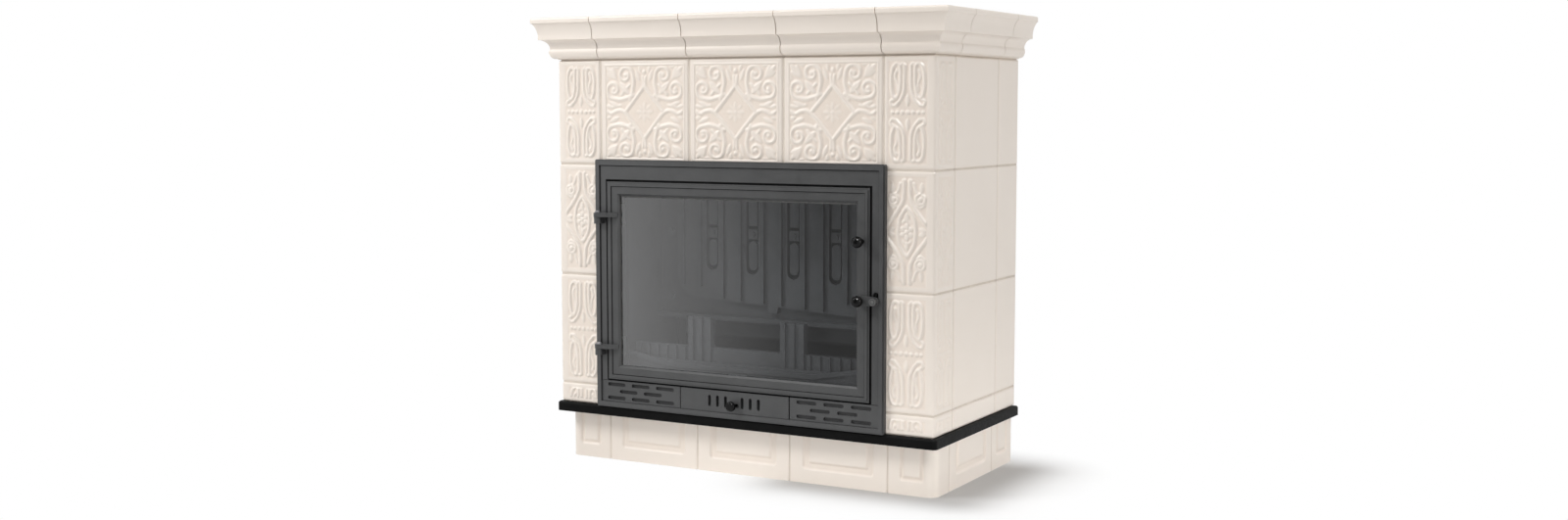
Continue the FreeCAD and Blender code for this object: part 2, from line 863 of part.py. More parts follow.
def make_boards():
    """Insulating boards behind the tiles, which carry the cornice and the plate."""
    deep = ("tile_back_y", "board_back_y")
    front = block("front_board", ("-tile_back_x", "tile_back_x"), deep, ("body_z", "slab_z"))
    opening = block("front_opening", ("-opening_x", "opening_x"), deep, ("body_z", "frame_top"))
    keep("core_front", cut("core_front", front, [opening]))
    left = block("core_left", ("-tile_back_x", "-board_x"), ("board_back_y", "back_y"), ("body_z", "slab_z"))
    mirrored("core_right", keep("core_left", left))
    deep = ("rear_board_y", "back_y")
    rear = block("rear_board", ("-board_x", "board_x"), deep, ("plinth_height", "top_z"))
    holes = [rod(f"pipe_hole_{side}", "board_hole_radius", (x, "rear_board_y", z), "board_thick", "y")
             for side, x, z in (("flow", "socket_x", "flow_z"), ("return", "-socket_x", "return_z"))]
    notches = []
    for side in (-1, 1):
        reach = (f"{side} * (board_x + shelf_x) / 2 - (board_x - shelf_x) / 2",
                 f"{side} * (board_x + shelf_x) / 2 + (board_x - shelf_x) / 2")
        notches.append(block("cornice_room", reach, deep, ("slab_z", "top_z")))
        reach = (f"{side} * (board_x + band_x) / 2 - (board_x - band_x) / 2",
                 f"{side} * (board_x + band_x) / 2 + (board_x - band_x) / 2")
        notches.append(block("band_room", reach, deep, ("plinth_height", "body_z")))
    keep("core_back", cut("core_back", rear, holes + notches))


def make_mortar():
    """Mortar in the joints, standing back from the glazed faces."""
    outer = block("mortar_block", ("-side_x + mortar_recess", "side_x - mortar_recess"),
                  ("front_y + mortar_recess", "back_y"), ("body_z", "cornice_z + half_joint"))
    inner = block("mortar_void", ("-tile_back_x", "tile_back_x"), ("tile_back_y", "back_y"),
                  ("body_z", "cornice_z + half_joint"))
    opening = block("mortar_opening", ("-opening_x", "opening_x"), ("front_y", "tile_back_y"),
                    ("body_z", "row1_z"))
    tiles = doc.addObject("Part::Compound", "laid_tiles")
    tiles.Links = [nodes[label] for label in (
        "corner_tiles_left", "corner_tiles_right", "side_tiles_left", "side_tiles_right",
        "field_tile_left", "field_tile_mid", "field_tile_right")]
    keep("mortar", cut("mortar", outer, [inner, opening, tiles]))


# Front frame of the insert

def make_front_frame():
    body = new_body("front_frame")
    across = ("-frame_x", "frame_x")
    up = ("body_z", "frame_top")
    flange = sketch(body, "XZ", "-front_y")
    rectangle(flange, across, up)
    pad(body, flange, "flange_thick")
    round_edges(body, "frame_round", lambda edge: runs_along(edge, 1))
    bead = sketch(body, "XZ", "-face_y")
    ring(bead, ("-frame_x + bead_height", "frame_x - bead_height"),
         ("body_z + bead_height", "frame_top - bead_height"), "bead_width - bead_height")
    pad(body, bead, "bead_height")
    duct = sketch(body, "XZ", "-front_y")
    rectangle(duct, ("-duct_x", "duct_x"), ("duct_z", "duct_top"))
    pad(body, duct, "frame_back_y - front_y", back=True)
    lower = sketch(body, "XZ", "-front_y")
    rectangle(lower, ("-panel_x", "panel_x"), ("body_z", "recess_z"))
    pad(body, lower, "panel_y + lower_floor - front_y", back=True)
    recess = sketch(body, "XZ", "-face_y")
    rectangle(recess, ("-recess_x", "recess_x"), ("recess_z", "recess_top"))
    pocket(body, recess, "rebate_depth")
    mouth = sketch(body, "XZ", "-floor_y")
    rectangle(mouth, ("-mouth_x", "mouth_x"), ("mouth_z", "mouth_top"))
    pocket(body, mouth, "floor_thick")
    rim = sketch(body, "XZ", "-floor_y")
    edge = "door_gap + seal_inset - rim_width / 2"
    ring(rim, (f"-recess_x + {edge}", f"recess_x - ({edge})"),
         (f"recess_z + {edge}", f"recess_top - ({edge})"),
         "rim_width")
    pad(body, rim, "rim_height")
    panels = sketch(body, "XZ", "-face_y")
    rectangle(panels, ("-panel_x", "panel_x"), ("panel_z", "recess_z"))
    pocket(body, panels, "ash_front_thick")
    windows = sketch(body, "XZ", "-panel_y")
    rectangle(windows, ("-window_x", "window_x"), ("window_z", "window_top"))
    inner = "ash_x + vent_ledge"
    outer = "panel_x - vent_ledge"
    rectangle(windows, (inner, outer), ("window_z", "window_top"))
    rectangle(windows, (f"-({outer})", f"-({inner})"), ("window_z", "window_top"))
    pocket(body, windows, "lower_floor + duct_wall + floor_thick")
    keyhole = sketch(body, "XZ", "-face_y")
    slot_width = "2 * (stud_radius + stud_clearance) + stud_shift"
    tall_slot(keyhole, "stud_x - stud_shift / 2", "latch_z + stud_lift / 2",
              f"{slot_width} + stud_lift", f"({slot_width})")
    pocket(body, keyhole, "flange_thick")
    for level in ("arm_high_z", "arm_low_z"):
        low = f"{level} - arm_thick / 2 - running_gap - lug_height"
        lug = sketch(body, "XY", low)
        outline(lug, [("hinge_x - lug_radius", "face_y"), ("hinge_x - lug_radius", "hinge_y", 1),
                      ("hinge_x + lug_radius", "hinge_y"), ("hinge_x + lug_radius", "face_y")])
        pad(body, lug, "lug_height")
        bore = sketch(body, "XY", low)
        circle(bore, "hinge_x", "hinge_y", "hinge_pin_radius")
        pocket(body, bore, "lug_height", back=True)
    keep("front_frame", body)


def make_hinge_pins():
    pins = []
    for name, level in (("upper", "arm_high_z"), ("lower", "arm_low_z")):
        head_z = "arm_thick / 2 + running_gap"
        body = new_body(f"pin_{name}", ("hinge_x", "hinge_y", level))
        drawing = sketch(body, "XZ")
        foot = f"-({head_z}) - lug_height"
        outline(drawing, [("0", foot), ("hinge_pin_radius", foot), ("hinge_pin_radius", head_z),
                          ("hinge_head_radius", head_z),
                          ("hinge_head_radius", f"{head_z} + hinge_head_height / 2"),
                          ("hinge_pin_radius", f"{head_z} + hinge_head_height"),
                          ("0", f"{head_z} + hinge_head_height")])
        turned(body, drawing)
        pins.append(body)
    group("hinge_pins", pins)


def make_vent_panels():
    """Panels beside the ash front with sunk slots, the upper inner one open at its end."""
    body = new_body("vent_panel_left", ("-panel_x + panel_gap / 3", "panel_y", "panel_z + panel_gap / 3"))
    height = "recess_z - panel_z - panel_gap"
    plate = sketch(body, "XZ")
    rectangle(plate, ("0", "vent_width"), ("0", height))
    pad(body, plate, "vent_thick")
    slots = sketch(body, "XZ", "vent_thick")
    for row, count in ((-1, 3), (0, 2), (1, 3)):
        for step in range(count):
            shift = step - (count - 1) / 2
            flat_slot(slots, f"vent_width / 2 + {shift} * vent_slot_pitch",
                      f"({height}) / 2 + {row} * vent_row_pitch", "vent_slot_length", "vent_slot_height")
    pocket(body, slots, "vent_slot_depth")
    hole = sketch(body, "XZ", "vent_thick")
    flat_slot(hole, "vent_width - vent_edge - vent_hole_length / 2", f"({height}) / 2 + vent_row_pitch",
              "vent_hole_length", "vent_slot_height")
    pocket(body, hole, "vent_thick")
    mirrored("vent_panel_right", keep("vent_panel_left", body))


def make_frame_screws():
    screws = []
    inset = "land_width - screw_radius - 4 * rim_width / 2"
    for side in (-1, 1):
        for name, level in (("low", f"recess_z + {inset}"), ("high", f"recess_top - ({inset})")):
            screws.append(rod(f"screw_{name}", "screw_radius", (f"{side} * (recess_x - ({inset}))",
                                                                "floor_y - screw_height", level),
                              "screw_height", "y"))
    group("frame_screws", screws)


# Door

def make_door_frame():
    body = new_body("door_frame")
    across = ("-door_x", "door_x")
    up = ("door_z", "door_top")
    leaf = sketch(body, "XZ", "-door_back_y")
    rectangle(leaf, across, up)
    rectangle(leaf, ("-pane_x", "pane_x"), ("pane_z", "pane_top"))
    pad(body, leaf, "door_thick")

    def on_pane(edge):
        inside = all(abs(vertex.Point.x) < value("pane_x") + 1 for vertex in edge.Vertexes)
        return inside and lies_at(edge, 1, "door_face_y")

    bevel_edges(body, "pane_bevel", on_pane)
    bead = sketch(body, "XZ", "-door_face_y")
    ring(bead, ("-door_x + door_bead_inset", "door_x - door_bead_inset"),
         ("door_z + door_bead_inset", "door_top - door_bead_inset"), "door_bead_width")
    pad(body, bead, "door_bead_height")
    seat = sketch(body, "XZ", "-door_back_y")
    rectangle(seat, ("-(glass_x + glass_gap)", "glass_x + glass_gap"),
              ("glass_z - glass_gap", "glass_top + glass_gap"))
    pocket(body, seat, "door_back_y - rebate_y", back=True)
    groove = sketch(body, "XZ", "-door_back_y")
    ring(groove, ("-door_x + seal_out", "door_x - (seal_out)"),
         ("door_z + seal_out", "door_top - (seal_out)"),
         "seal_width")
    pocket(body, groove, "seal_groove", back=True)
    for level in ("arm_high_z", "arm_low_z"):
        low = f"{level} - arm_thick / 2"
        arm = sketch(body, "XY", low)
        outline(arm, [("hinge_x", "hinge_y - hinge_eye_radius"),
                      ("hinge_x + arm_length / 2", "hinge_y - hinge_eye_radius * 0.45"),
                      ("hinge_x + arm_length", "door_face_y - door_bead_height"),
                      ("hinge_x + arm_length", "door_face_y + door_bead_height"),
                      ("-door_x + door_bead_height", "door_face_y + door_bead_height"),
                      ("-door_x + door_bead_height", "hinge_y + hinge_eye_radius"),
                      ("hinge_x", "hinge_y + hinge_eye_radius", 1)])
        pad(body, arm, "arm_thick")
        bore = sketch(body, "XY", low)
        circle(bore, "hinge_x", "hinge_y", "hinge_pin_radius + hinge_clearance")
        pocket(body, bore, "arm_thick", back=True)
    spindle = sketch(body, "XZ", "-door_face_y")
    circle(spindle, "latch_x", "latch_z", "spindle_radius + hinge_clearance")
    circle(spindle, "latch_x", "latch_z + pull_rise", "ball_stem_radius")
    pocket(body, spindle, "spindle_depth")
    keep("door_frame", body)


def make_glazing():
    pane = new_body("door_glass")
    sheet = sketch(pane, "XZ", "-glass_y")
    rectangle(sheet, ("-glass_x", "glass_x"), ("glass_z", "glass_top"))
    pad(pane, sheet, "glass_thick", back=True)
    keep("door_glass", pane)
    tape = new_body("glass_gasket")
    band = sketch(tape, "XZ", "-rebate_y")
    ring(band, ("-glass_x", "glass_x"), ("glass_z", "glass_top"), "gasket_width")
    pad(tape, band, "gasket_thick", back=True)
    keep("glass_gasket", tape)
    rope = new_body("door_seal")
    loop = sketch(rope, "XZ", "-(door_back_y - seal_groove)")
    ring(loop, ("-door_x + seal_out", "door_x - (seal_out)"), ("door_z + seal_out", "door_top - (seal_out)"),
         "seal_width")
    pad(rope, loop, "floor_y - rim_height - running_gap - door_back_y + seal_groove", back=True)
    round_edges(rope, "seal_round", lambda edge: lies_at(edge, 1, "floor_y - rim_height - running_gap"))
    keep("door_seal", rope)


def make_glass_clips():
    """Clips screwed to the door's back; each has a foot that holds the pane against its gasket."""
    inner_x = "pane_x + clip_margin"
    foot_x = "glass_x - clip_margin"
    outer_x = "door_x - (seal_in) - clip_margin"
    screw_x = "(glass_x + glass_gap + door_x - (seal_in)) / 2"
    along = ("-clip_length / 2", "clip_length / 2")
    clips = []
    for side in (-1, 1):
        plate = (f"{side} * ({inner_x})", f"{side} * ({outer_x})")
        foot = (f"{side} * ({inner_x})", f"{side} * ({foot_x})")
        for name, level in (("low", "pane_z + clip_length"), ("high", "pane_top - clip_length")):
            body = new_body(f"clip_side_{name}", ("0", "door_back_y", level))
            clips.append(make_clip(body, (plate, along), (foot, along), (f"{side} * {screw_x}", "0")))
    inner_z = "rail_width - clip_margin"
    foot_z = "rail_width - glass_lap + clip_margin"
    outer_z = "seal_in + clip_margin"
    screw_z = "(rail_width - glass_lap - glass_gap + seal_in) / 2"
    for name, level, side in (("low", "door_z", 1), ("high", "door_top", -1)):
        plate = (f"{side} * ({outer_z})", f"{side} * ({inner_z})")
        foot = (f"{side} * ({foot_z})", f"{side} * ({inner_z})")
        body = new_body(f"clip_rail_{name}", ("0", "door_back_y", level))
        clips.append(make_clip(body, (along, plate), (along, foot), ("0", f"{side} * {screw_z}")))
    group("glass_clips", clips)


def make_clip(body, plate, foot, screw):
    strap = sketch(body, "XZ")
    rectangle(strap, *plate)
    pad(body, strap, "clip_thick", back=True)
    toe = sketch(body, "XZ")
    rectangle(toe, *foot)
    pad(body, toe, "door_back_y - glass_back_y")
    head = sketch(body, "XZ", "-clip_thick")
    circle(head, *screw, "clip_screw_radius")
    pad(body, head, "clip_screw_height", back=True)
    return body


def make_ball(name, at, stem_length):
    """Polished ball with a short stem; its axis points to the front."""
    ball = doc.addObject("Part::Sphere", name + "_ball")
    ball.setExpression("Radius", expr("ball_radius"))
    place(ball, at)
    collar = rod(name + "_collar", "ball_stem_radius + knob_collar / 2",
                 (at[0], f"{at[1]} + ball_radius - knob_collar / 2", at[2]), "knob_collar * 0.75", "y")
    stem = rod(name + "_stem", "ball_stem_radius",
               (at[0], f"{at[1]} + ball_radius - knob_collar", at[2]), stem_length, "y")
    return fuse(name, [ball, collar, stem])


def make_pull_knob():
    keep("pull_knob", make_ball("pull", ("latch_x", "ball_y", "latch_z + pull_rise"),
                                "ball_reach - ball_radius + knob_collar + spindle_depth"))


def make_latch():
    lever = new_body("latch_lever")
    plate = sketch(lever, "XZ", "-lever_y")
    outline(plate, [("latch_x", "latch_z + hub_radius", 1), ("latch_x", "latch_z - hub_radius"),
                    ("stud_x", "latch_z - boss_radius", 1), ("stud_x", "latch_z + boss_radius")])
    pad(lever, plate, "lever_thick")
    boss = sketch(lever, "XZ", "-(face_y - bead_height - running_gap * 2)")
    circle(boss, "stud_x", "latch_z", "boss_radius - 1")
    pad(lever, boss, "face_y - bead_height - running_gap * 2 - lever_y + lever_thick + boss_proud")
    stud = sketch(lever, "XZ", "-(face_y + stud_depth)")
    circle(stud, "stud_x", "latch_z", "stud_radius")
    pad(lever, stud, "stud_depth + flange_thick")
    hole = sketch(lever, "XZ", "-(lever_y - lever_thick)")
    circle(hole, "latch_x", "latch_z", "spindle_radius")
    pocket(lever, hole, "lever_thick")
    keep("latch_lever", lever)
    bar = rod("spindle_bar", "spindle_radius", ("latch_x", "lever_y - lever_thick", "latch_z"),
              "lever_thick + lever_lift + spindle_depth - running_gap", "y")
    washer = rod("spindle_washer", "washer_radius", ("latch_x", "lever_y", "latch_z"),
                 "lever_lift - running_gap", "y")
    keep("latch_spindle", fuse("latch_spindle", [bar, washer]))
    ball = doc.addObject("Part::Sphere", "latch_sphere")
    ball.setExpression("Radius", expr("ball_radius"))
    place(ball, ("latch_x", "ball_y", "latch_z"))
    neck = rod("latch_neck", "ball_stem_radius + knob_collar / 2", ("latch_x", "ball_y", "latch_z"),
               "lever_y - lever_thick - ball_y", "y")
    room = block("latch_room", ("latch_x - 2 * hub_radius", "latch_x + 2 * hub_radius"),
                 ("lever_y - lever_thick", "door_face_y"),
                 ("latch_z - 2 * hub_radius", "latch_z + 2 * hub_radius"))
    keep("latch_ball", cut("latch_ball", fuse("latch_grip", [ball, neck]), [room]))


# Ash drawer and air slide

def make_ash_drawer():
    front = new_body("ash_front", ("0", "ash_y", "0"))
    low = "panel_z + panel_gap / 3"
    high = "recess_z - panel_gap * 2 / 3"
    plate = sketch(front, "XZ")
    rectangle(plate, ("-ash_x", "ash_x"), (low, high))
    pad(front, plate, "ash_front_thick")
    air = sketch(front, "XZ", "ash_front_thick")
    for side in (-1, 1):
        for step in range(3):
            tall_slot(air, f"{side} * (air_slot_first + {step} * air_slot_pitch)", "slide_mid_z",
                      "air_slot_height", "air_slot_width")
    flat_slot(air, "0", "slide_mid_z - air_knob_drop", "2 * (slide_travel + stem_radius + running_gap)",
              "2 * (stem_radius + running_gap)")
    pocket(front, air, "ash_front_thick")
    edge_z = ("slide_z - running_gap", "slide_z + slide_height + running_gap")
    rails = sketch(front, "XZ")
    half = "slide_length / 2 + slide_travel"
    rectangle(rails, (f"-({half})", half), (f"{edge_z[0]} - rail_height", edge_z[0]))
    rectangle(rails, (f"-({half})", half), (edge_z[1], f"{edge_z[1]} + rail_height"))
    pad(front, rails, "rail_depth", back=True)
    lips = sketch(front, "XZ", "-(slide_thick + 2 * running_gap)")
    rectangle(lips, (f"-({half})", half), (edge_z[0], f"{edge_z[0]} + rail_height / 2"))
    rectangle(lips, (f"-({half})", half), (f"{edge_z[1]} - rail_height / 2", edge_z[1]))
    pad(front, lips, "rail_depth - slide_thick - 2 * running_gap", back=True)
    keep("ash_front", front)
    pan = new_body("ash_pan", ("0", "pan_y", "pan_z"))
    tray = sketch(pan, "XY")
    rectangle(tray, ("-pan_x", "pan_x"), ("0", "pan_depth"))
    pad(pan, tray, "pan_height")
    hollow = sketch(pan, "XY", "pan_height")
    rectangle(hollow, ("-pan_x + pan_wall", "pan_x - pan_wall"), ("pan_wall", "pan_depth - pan_wall"))
    pocket(pan, hollow, "pan_height - pan_wall")
    keep("ash_pan", pan)


def make_air_slide():
    body = new_body("air_slider", ("0", "slide_y", "0"))
    plate = sketch(body, "XZ")
    rectangle(plate, ("-slide_length / 2", "slide_length / 2"), ("slide_z", "slide_z + slide_height"))
    pad(body, plate, "slide_thick", back=True)
    air = sketch(body, "XZ")
    for side in (-1, 1):
        for step in range(3):
            tall_slot(air, f"{side} * (air_slot_first + {step} * air_slot_pitch)", "slide_mid_z",
                      "air_slot_height - rail_height", "air_slot_width")
    pocket(body, air, "slide_thick")
    keep("air_slider", body)
    knob = new_body("air_knob", ("0", "slide_y", "slide_mid_z - air_knob_drop"))
    knob.Placement.Rotation = FreeCAD.Rotation(VECTOR(1, 0, 0), 90)
    profile = sketch(knob, "XZ")
    face = "ash_front_thick + running_gap"
    outline(profile, [("0", "0"), ("stem_radius", "0"), ("stem_radius", f"{face} + 5"),
                      ("air_knob_radius - 2", f"{face} + 8", 0.3), ("air_knob_radius", f"{face} + 13", 0.3),
                      ("air_knob_radius - 3", f"{face} + air_knob_reach"), ("0", f"{face} + air_knob_reach")])
    turned(knob, profile)
    keep("air_knob", knob)


# Firebox

def make_firebox():
    keep("base_plate", block("base_plate", ("-shell_x", "shell_x"), ("tile_back_y", "jacket_back_y"),
                             ("body_z", "base_z")))
    feet = []
    for side in (-1, 1):
        for name, level in (("front", "front_y + band_seat + foot_inset"),
                            ("rear", "jacket_back_y - foot_inset")):
            foot = new_body(f"foot_{name}", (f"{side} * (shell_x - foot_inset)", level, "plinth_height"))
            profile = sketch(foot, "XZ")
            outline(profile, [("0", "0"), ("foot_radius", "0"), ("foot_radius", "foot_pad / 2"),
                              ("foot_stem_radius", "foot_pad"), ("foot_stem_radius", "band_height"),
                              ("0", "band_height")])
            turned(foot, profile)
            feet.append(foot)
    group("insert_feet", feet)
    runner_x = "pan_x + runner_gap"
    runners = []
    for side, turn in ((1, "right"), (-1, "left")):
        runner = new_body(f"runner_{turn}", ("0", "frame_back_y", "0"))
        section = sketch(runner, "XZ")
        outline(section, [(f"{side} * ({runner_x})", "bed_z"), (f"{side} * ({runner_x})", "window_z"),
                          (f"{side} * ({runner_x} - runner_ledge)", "window_z"),
                          (f"{side} * ({runner_x} - runner_ledge)", "base_z"),
                          (f"{side} * ({runner_x} + runner_thick)", "base_z"),
                          (f"{side} * ({runner_x} + runner_thick)", "bed_z")])
        pad(runner, section, "jacket_y - frame_back_y", back=True)
        runners.append(runner)
    group("ash_runners", runners)
    lining = new_body("side_lining_left")
    wall = sketch(lining, "XY", "base_z")
    rectangle(wall, ("-shell_x", "-lining_x"), ("frame_back_y", "jacket_y"))
    pad(lining, wall, "duct_top - base_z")
    lug = sketch(lining, "XY", "baffle_z - baffle_lug")
    outline(lug, [("-lining_x", "rib_y - baffle_depth"),
                  ("-lining_x + baffle_lug", "rib_y - baffle_depth + baffle_lug"),
                  ("-lining_x + baffle_lug", "rib_y"), ("-lining_x", "rib_y")])
    pad(lining, lug, "baffle_lug")
    mirrored("side_lining_right", keep("side_lining_left", lining))


def make_jacket():
    """Hollow water jacket behind the firebox that steps forward over the fire, with its two pipe sockets."""
    rear = block("jacket_rear", ("-shell_x", "shell_x"), ("jacket_y", "jacket_back_y"),
                 ("base_z", "duct_top"))
    over = block("jacket_over", ("-lining_x", "lining_x"), ("hang_y", "jacket_y"), ("step_z", "duct_top"))
    shell = fuse("jacket_shell", [rear, over])
    rear_water = block("water_rear", ("-shell_x + jacket_wall", "shell_x - jacket_wall"),
                       ("jacket_y + jacket_wall", "jacket_back_y - jacket_wall"),
                       ("base_z + jacket_wall", "duct_top - jacket_wall"))
    over_water = block("water_over", ("-lining_x + jacket_wall", "lining_x - jacket_wall"),
                       ("hang_y + jacket_wall", "jacket_y + jacket_wall"),
                       ("step_z + jacket_wall", "duct_top - jacket_wall"))
    water = fuse("jacket_water", [rear_water, over_water])
    ports = [("flow", "socket_x", "flow_z"), ("return", "-socket_x", "return_z")]
    holes = [rod(f"port_{name}", "port_radius", (x, "jacket_back_y - jacket_wall", z), "jacket_wall", "y")
             for name, x, z in ports]
    keep("water_jacket", cut("water_jacket", shell, [water] + holes))
    sockets = []
    length = "back_y - socket_setback - jacket_back_y"
    for name, x, z in ports:
        socket = new_body(f"socket_{name}", (x, "jacket_back_y", z))
        wall = sketch(socket, "XZ")
        circle(wall, "0", "0", "socket_radius")
        circle(wall, "0", "0", "socket_bore_radius")
        pad(socket, wall, length, back=True)
        sockets.append(socket)
    group("jacket_sockets", sockets)


def lining_edge(x):
    """Height of the back lining's slanting lower edge."""
    return f"(back_low_z - back_slant * (({x}) / back_half_width + 1) / 2)"


def make_back_lining():
    """Ribbed cast plate with a slanting lower edge, round lower corners, a tab and four long slots."""
    body = new_body("back_lining", ("0", "hang_y", "0"))
    plate = sketch(body, "XZ")
    left = "-back_half_width + back_corner"
    right = "back_half_width - back_corner"
    half_tab = "tab_width / 2"
    tab_low = f"{lining_edge('0')} - tab_height"
    outline(plate, [("-back_half_width", "duct_top"),
                    ("-back_half_width", f"{lining_edge('-back_half_width')} + back_corner", 0.4142),
                    (left, lining_edge(left)), (f"-{half_tab}", lining_edge(f"-{half_tab}")),
                    (f"-{half_tab} + tab_taper", tab_low), (f"{half_tab} - tab_taper", tab_low),
                    (half_tab, lining_edge(half_tab)), (right, lining_edge(right), 0.4142),
                    ("back_half_width", f"{lining_edge('back_half_width')} + back_corner"),
                    ("back_half_width", "duct_top")])
    pad(body, plate, "back_thick")
    ovals = sketch(body, "XZ", "back_thick")
    for number in range(4):
        middle = f"({number} - 1.5) * oval_pitch"
        low = f"({lining_edge(middle)} + oval_low)"
        high = "(duct_top - oval_head)"
        tall_slot(ovals, middle, f"({low} + {high}) / 2", f"({high} - {low})", "oval_width")
    pocket(body, ovals, "back_thick")
    ribs = sketch(body, "XZ", "back_thick")
    for number in range(-2, 3):
        foot = "back_corner / 2" if abs(number) == 2 else "rib_foot"
        for side in (-1, 1):
            middle = f"{number} * oval_pitch + {side} * rib_offset"
            rectangle(ribs, (f"{middle} - rib_width / 2", f"{middle} + rib_width / 2"),
                      (f"{lining_edge(middle)} + {foot}", "duct_top"))
    pad(body, ribs, "rib_depth")
    keep("back_lining", body)
    bridges = []
    for number in range(4):
        bridge = new_body(f"bridge_{number}", (f"({number} - 1.5) * oval_pitch", "hang_y", "bridge_z"))
        square = sketch(bridge, "XZ")
        rectangle(square, ("-bridge_width / 2", "bridge_width / 2"),
                  ("-bridge_height / 2", "bridge_height / 2"))
        pad(bridge, square, "bridge_thick")
        bolt = sketch(bridge, "XZ", "bridge_thick")
        circle(bolt, "0", "0", "bridge_bolt_radius")
        pad(bridge, bolt, "bridge_bolt_height")
        bridges.append(bridge)
    group("slot_bridges", bridges)
    keep("back_ledge", block("back_ledge", ("-lining_x", "lining_x"), ("hang_y - ledge_depth", "hang_y"),
                             ("step_z", "ledge_z")))


def make_hearth():
    """Cast bed that falls to the grate on four sides, with the grate's seat and the ash hole."""
    body = new_body("hearth_bed")
    cast = sketch(body, "XY", "bed_z")
    rectangle(cast, ("-lining_x", "lining_x"), ("frame_back_y", "jacket_y"))
    pad(body, cast, "bed_height")
    top = sketch(body, "XY", "bed_top")
    rectangle(top, ("-lining_x + bed_rim_side", "lining_x - bed_rim_side"),
              ("frame_back_y + bed_rim_front", "jacket_y - bed_rim_back"))
    foot = sketch(body, "XY", "bed_top - bed_fall")
    half_x = "grate_width / 2 + grate_gap"
    half_y = "grate_depth / 2 + grate_gap"
    rectangle(foot, (f"-({half_x})", half_x), (f"grate_y - ({half_y})", f"grate_y + {half_y}"))
    fall = body.newObject("PartDesign::SubtractiveLoft", "fall")
    fall.Profile = top
    fall.Sections = [foot]
    fall.Ruled = True
    seat = sketch(body, "XY", "bed_top - bed_fall")
    rectangle(seat, (f"-({half_x})", half_x), (f"grate_y - ({half_y})", f"grate_y + {half_y}"))
    pocket(body, seat, "grate_thick")
    hole = sketch(body, "XY", "bed_top - bed_fall")
    rectangle(hole, (f"-({half_x}) + grate_seat", f"{half_x} - grate_seat"),
              (f"grate_y - ({half_y}) + grate_seat", f"grate_y + {half_y} - grate_seat"))
    pocket(body, hole, "bed_height - bed_fall")
    keep("hearth_bed", body)
    grate = new_body("grate", ("0", "grate_y", "bed_top - bed_fall - grate_thick"))
    plate = sketch(grate, "XY")
    rectangle(plate, ("-grate_width / 2", "grate_width / 2"), ("-grate_depth / 2", "grate_depth / 2"))
    pad(grate, plate, "grate_thick")
    slots = sketch(grate, "XY", "grate_thick")
    half_slot = "(grate_depth / 2 - grate_margin - grate_bridge / 2)"
    for side in (-1, 1):
        tall_slot(slots, "-6 * grate_slot_pitch", f"{side} * ({half_slot} + grate_bridge) / 2", half_slot,
                  "grate_slot_width")
    first = pocket(grate, slots, "grate_thick")
    repeat(grate, first, slots, "H_Axis", "12 * grate_slot_pitch", 13)
    keep("grate", grate)


def make_log_guard():
    """Cast guard along the hearth's front: a low bar with fluted wings and two tall fluted posts."""
    body = new_body("log_guard", ("0", "frame_back_y + guard_from_front + guard_thick", "bed_top"))
    end = "(lining_x - guard_side_gap)"
    inner = "(guard_post_x - guard_post_width / 2)"
    outer = "(guard_post_x + guard_post_width / 2)"
    plate = sketch(body, "XZ")
    outline(plate, [(f"-{end}", "0"), (end, "0"), (end, "guard_bar_height"), (outer, "guard_bar_height"),
                    (outer, "guard_post_height"), (inner, "guard_post_height"),
                    (inner, "guard_bar_height + guard_round", -0.4142),
                    (f"{inner} - guard_round", "guard_bar_height"),
                    (f"-{inner} + guard_round", "guard_bar_height", -0.4142),
                    (f"-{inner}", "guard_bar_height + guard_round"), (f"-{inner}", "guard_post_height"),
                    (f"-{outer}", "guard_post_height"), (f"-{outer}", "guard_bar_height"),
                    (f"-{end}", "guard_bar_height")])
    pad(body, plate, "guard_thick - guard_flute_depth")
    flutes = sketch(body, "XZ", "guard_thick - guard_flute_depth")
    for side in (-1, 1):
        for step in (-1, 0, 1):
            middle = f"{side} * guard_post_x + {step} * (guard_post_width - guard_flute_width) / 2"
            rectangle(flutes, (f"{middle} - guard_flute_width / 2", f"{middle} + guard_flute_width / 2"),
                      ("0", "guard_post_height"))
        for step in range(6):
            middle = f"{side} * ({outer} + {(step + 0.5) / 6} * ({end} - {outer}))"
            rectangle(flutes, (f"{middle} - wing_flute_width / 2", f"{middle} + wing_flute_width / 2"),
                      ("0", "guard_bar_height"))
    pad(body, flutes, "guard_flute_depth")
    keep("log_guard", body)


def make_hearth_lip():
    """Cast lip in the mouth's lower edge, rising to both ends, with a raised rail along its top."""
    body = new_body("hearth_lip", ("0", "frame_back_y", "mouth_z"))
    end = "(mouth_x - running_gap)"
    crest = [(end, "lip_high"), ("lip_flat", "lip_low"), ("-lip_flat", "lip_low"), (f"-{end}", "lip_high")]
    plate = sketch(body, "XZ")
    outline(plate, [(f"-{end}", "0"), (end, "0")] + crest)
    pad(body, plate, "lip_thick")
    rail = sketch(body, "XZ", "lip_thick")
    under = [(x, f"{z} - lip_rail_width") for x, z in reversed(crest)]
    outline(rail, under + crest)
    pad(body, rail, "lip_rail_depth")
    keep("hearth_lip", body)


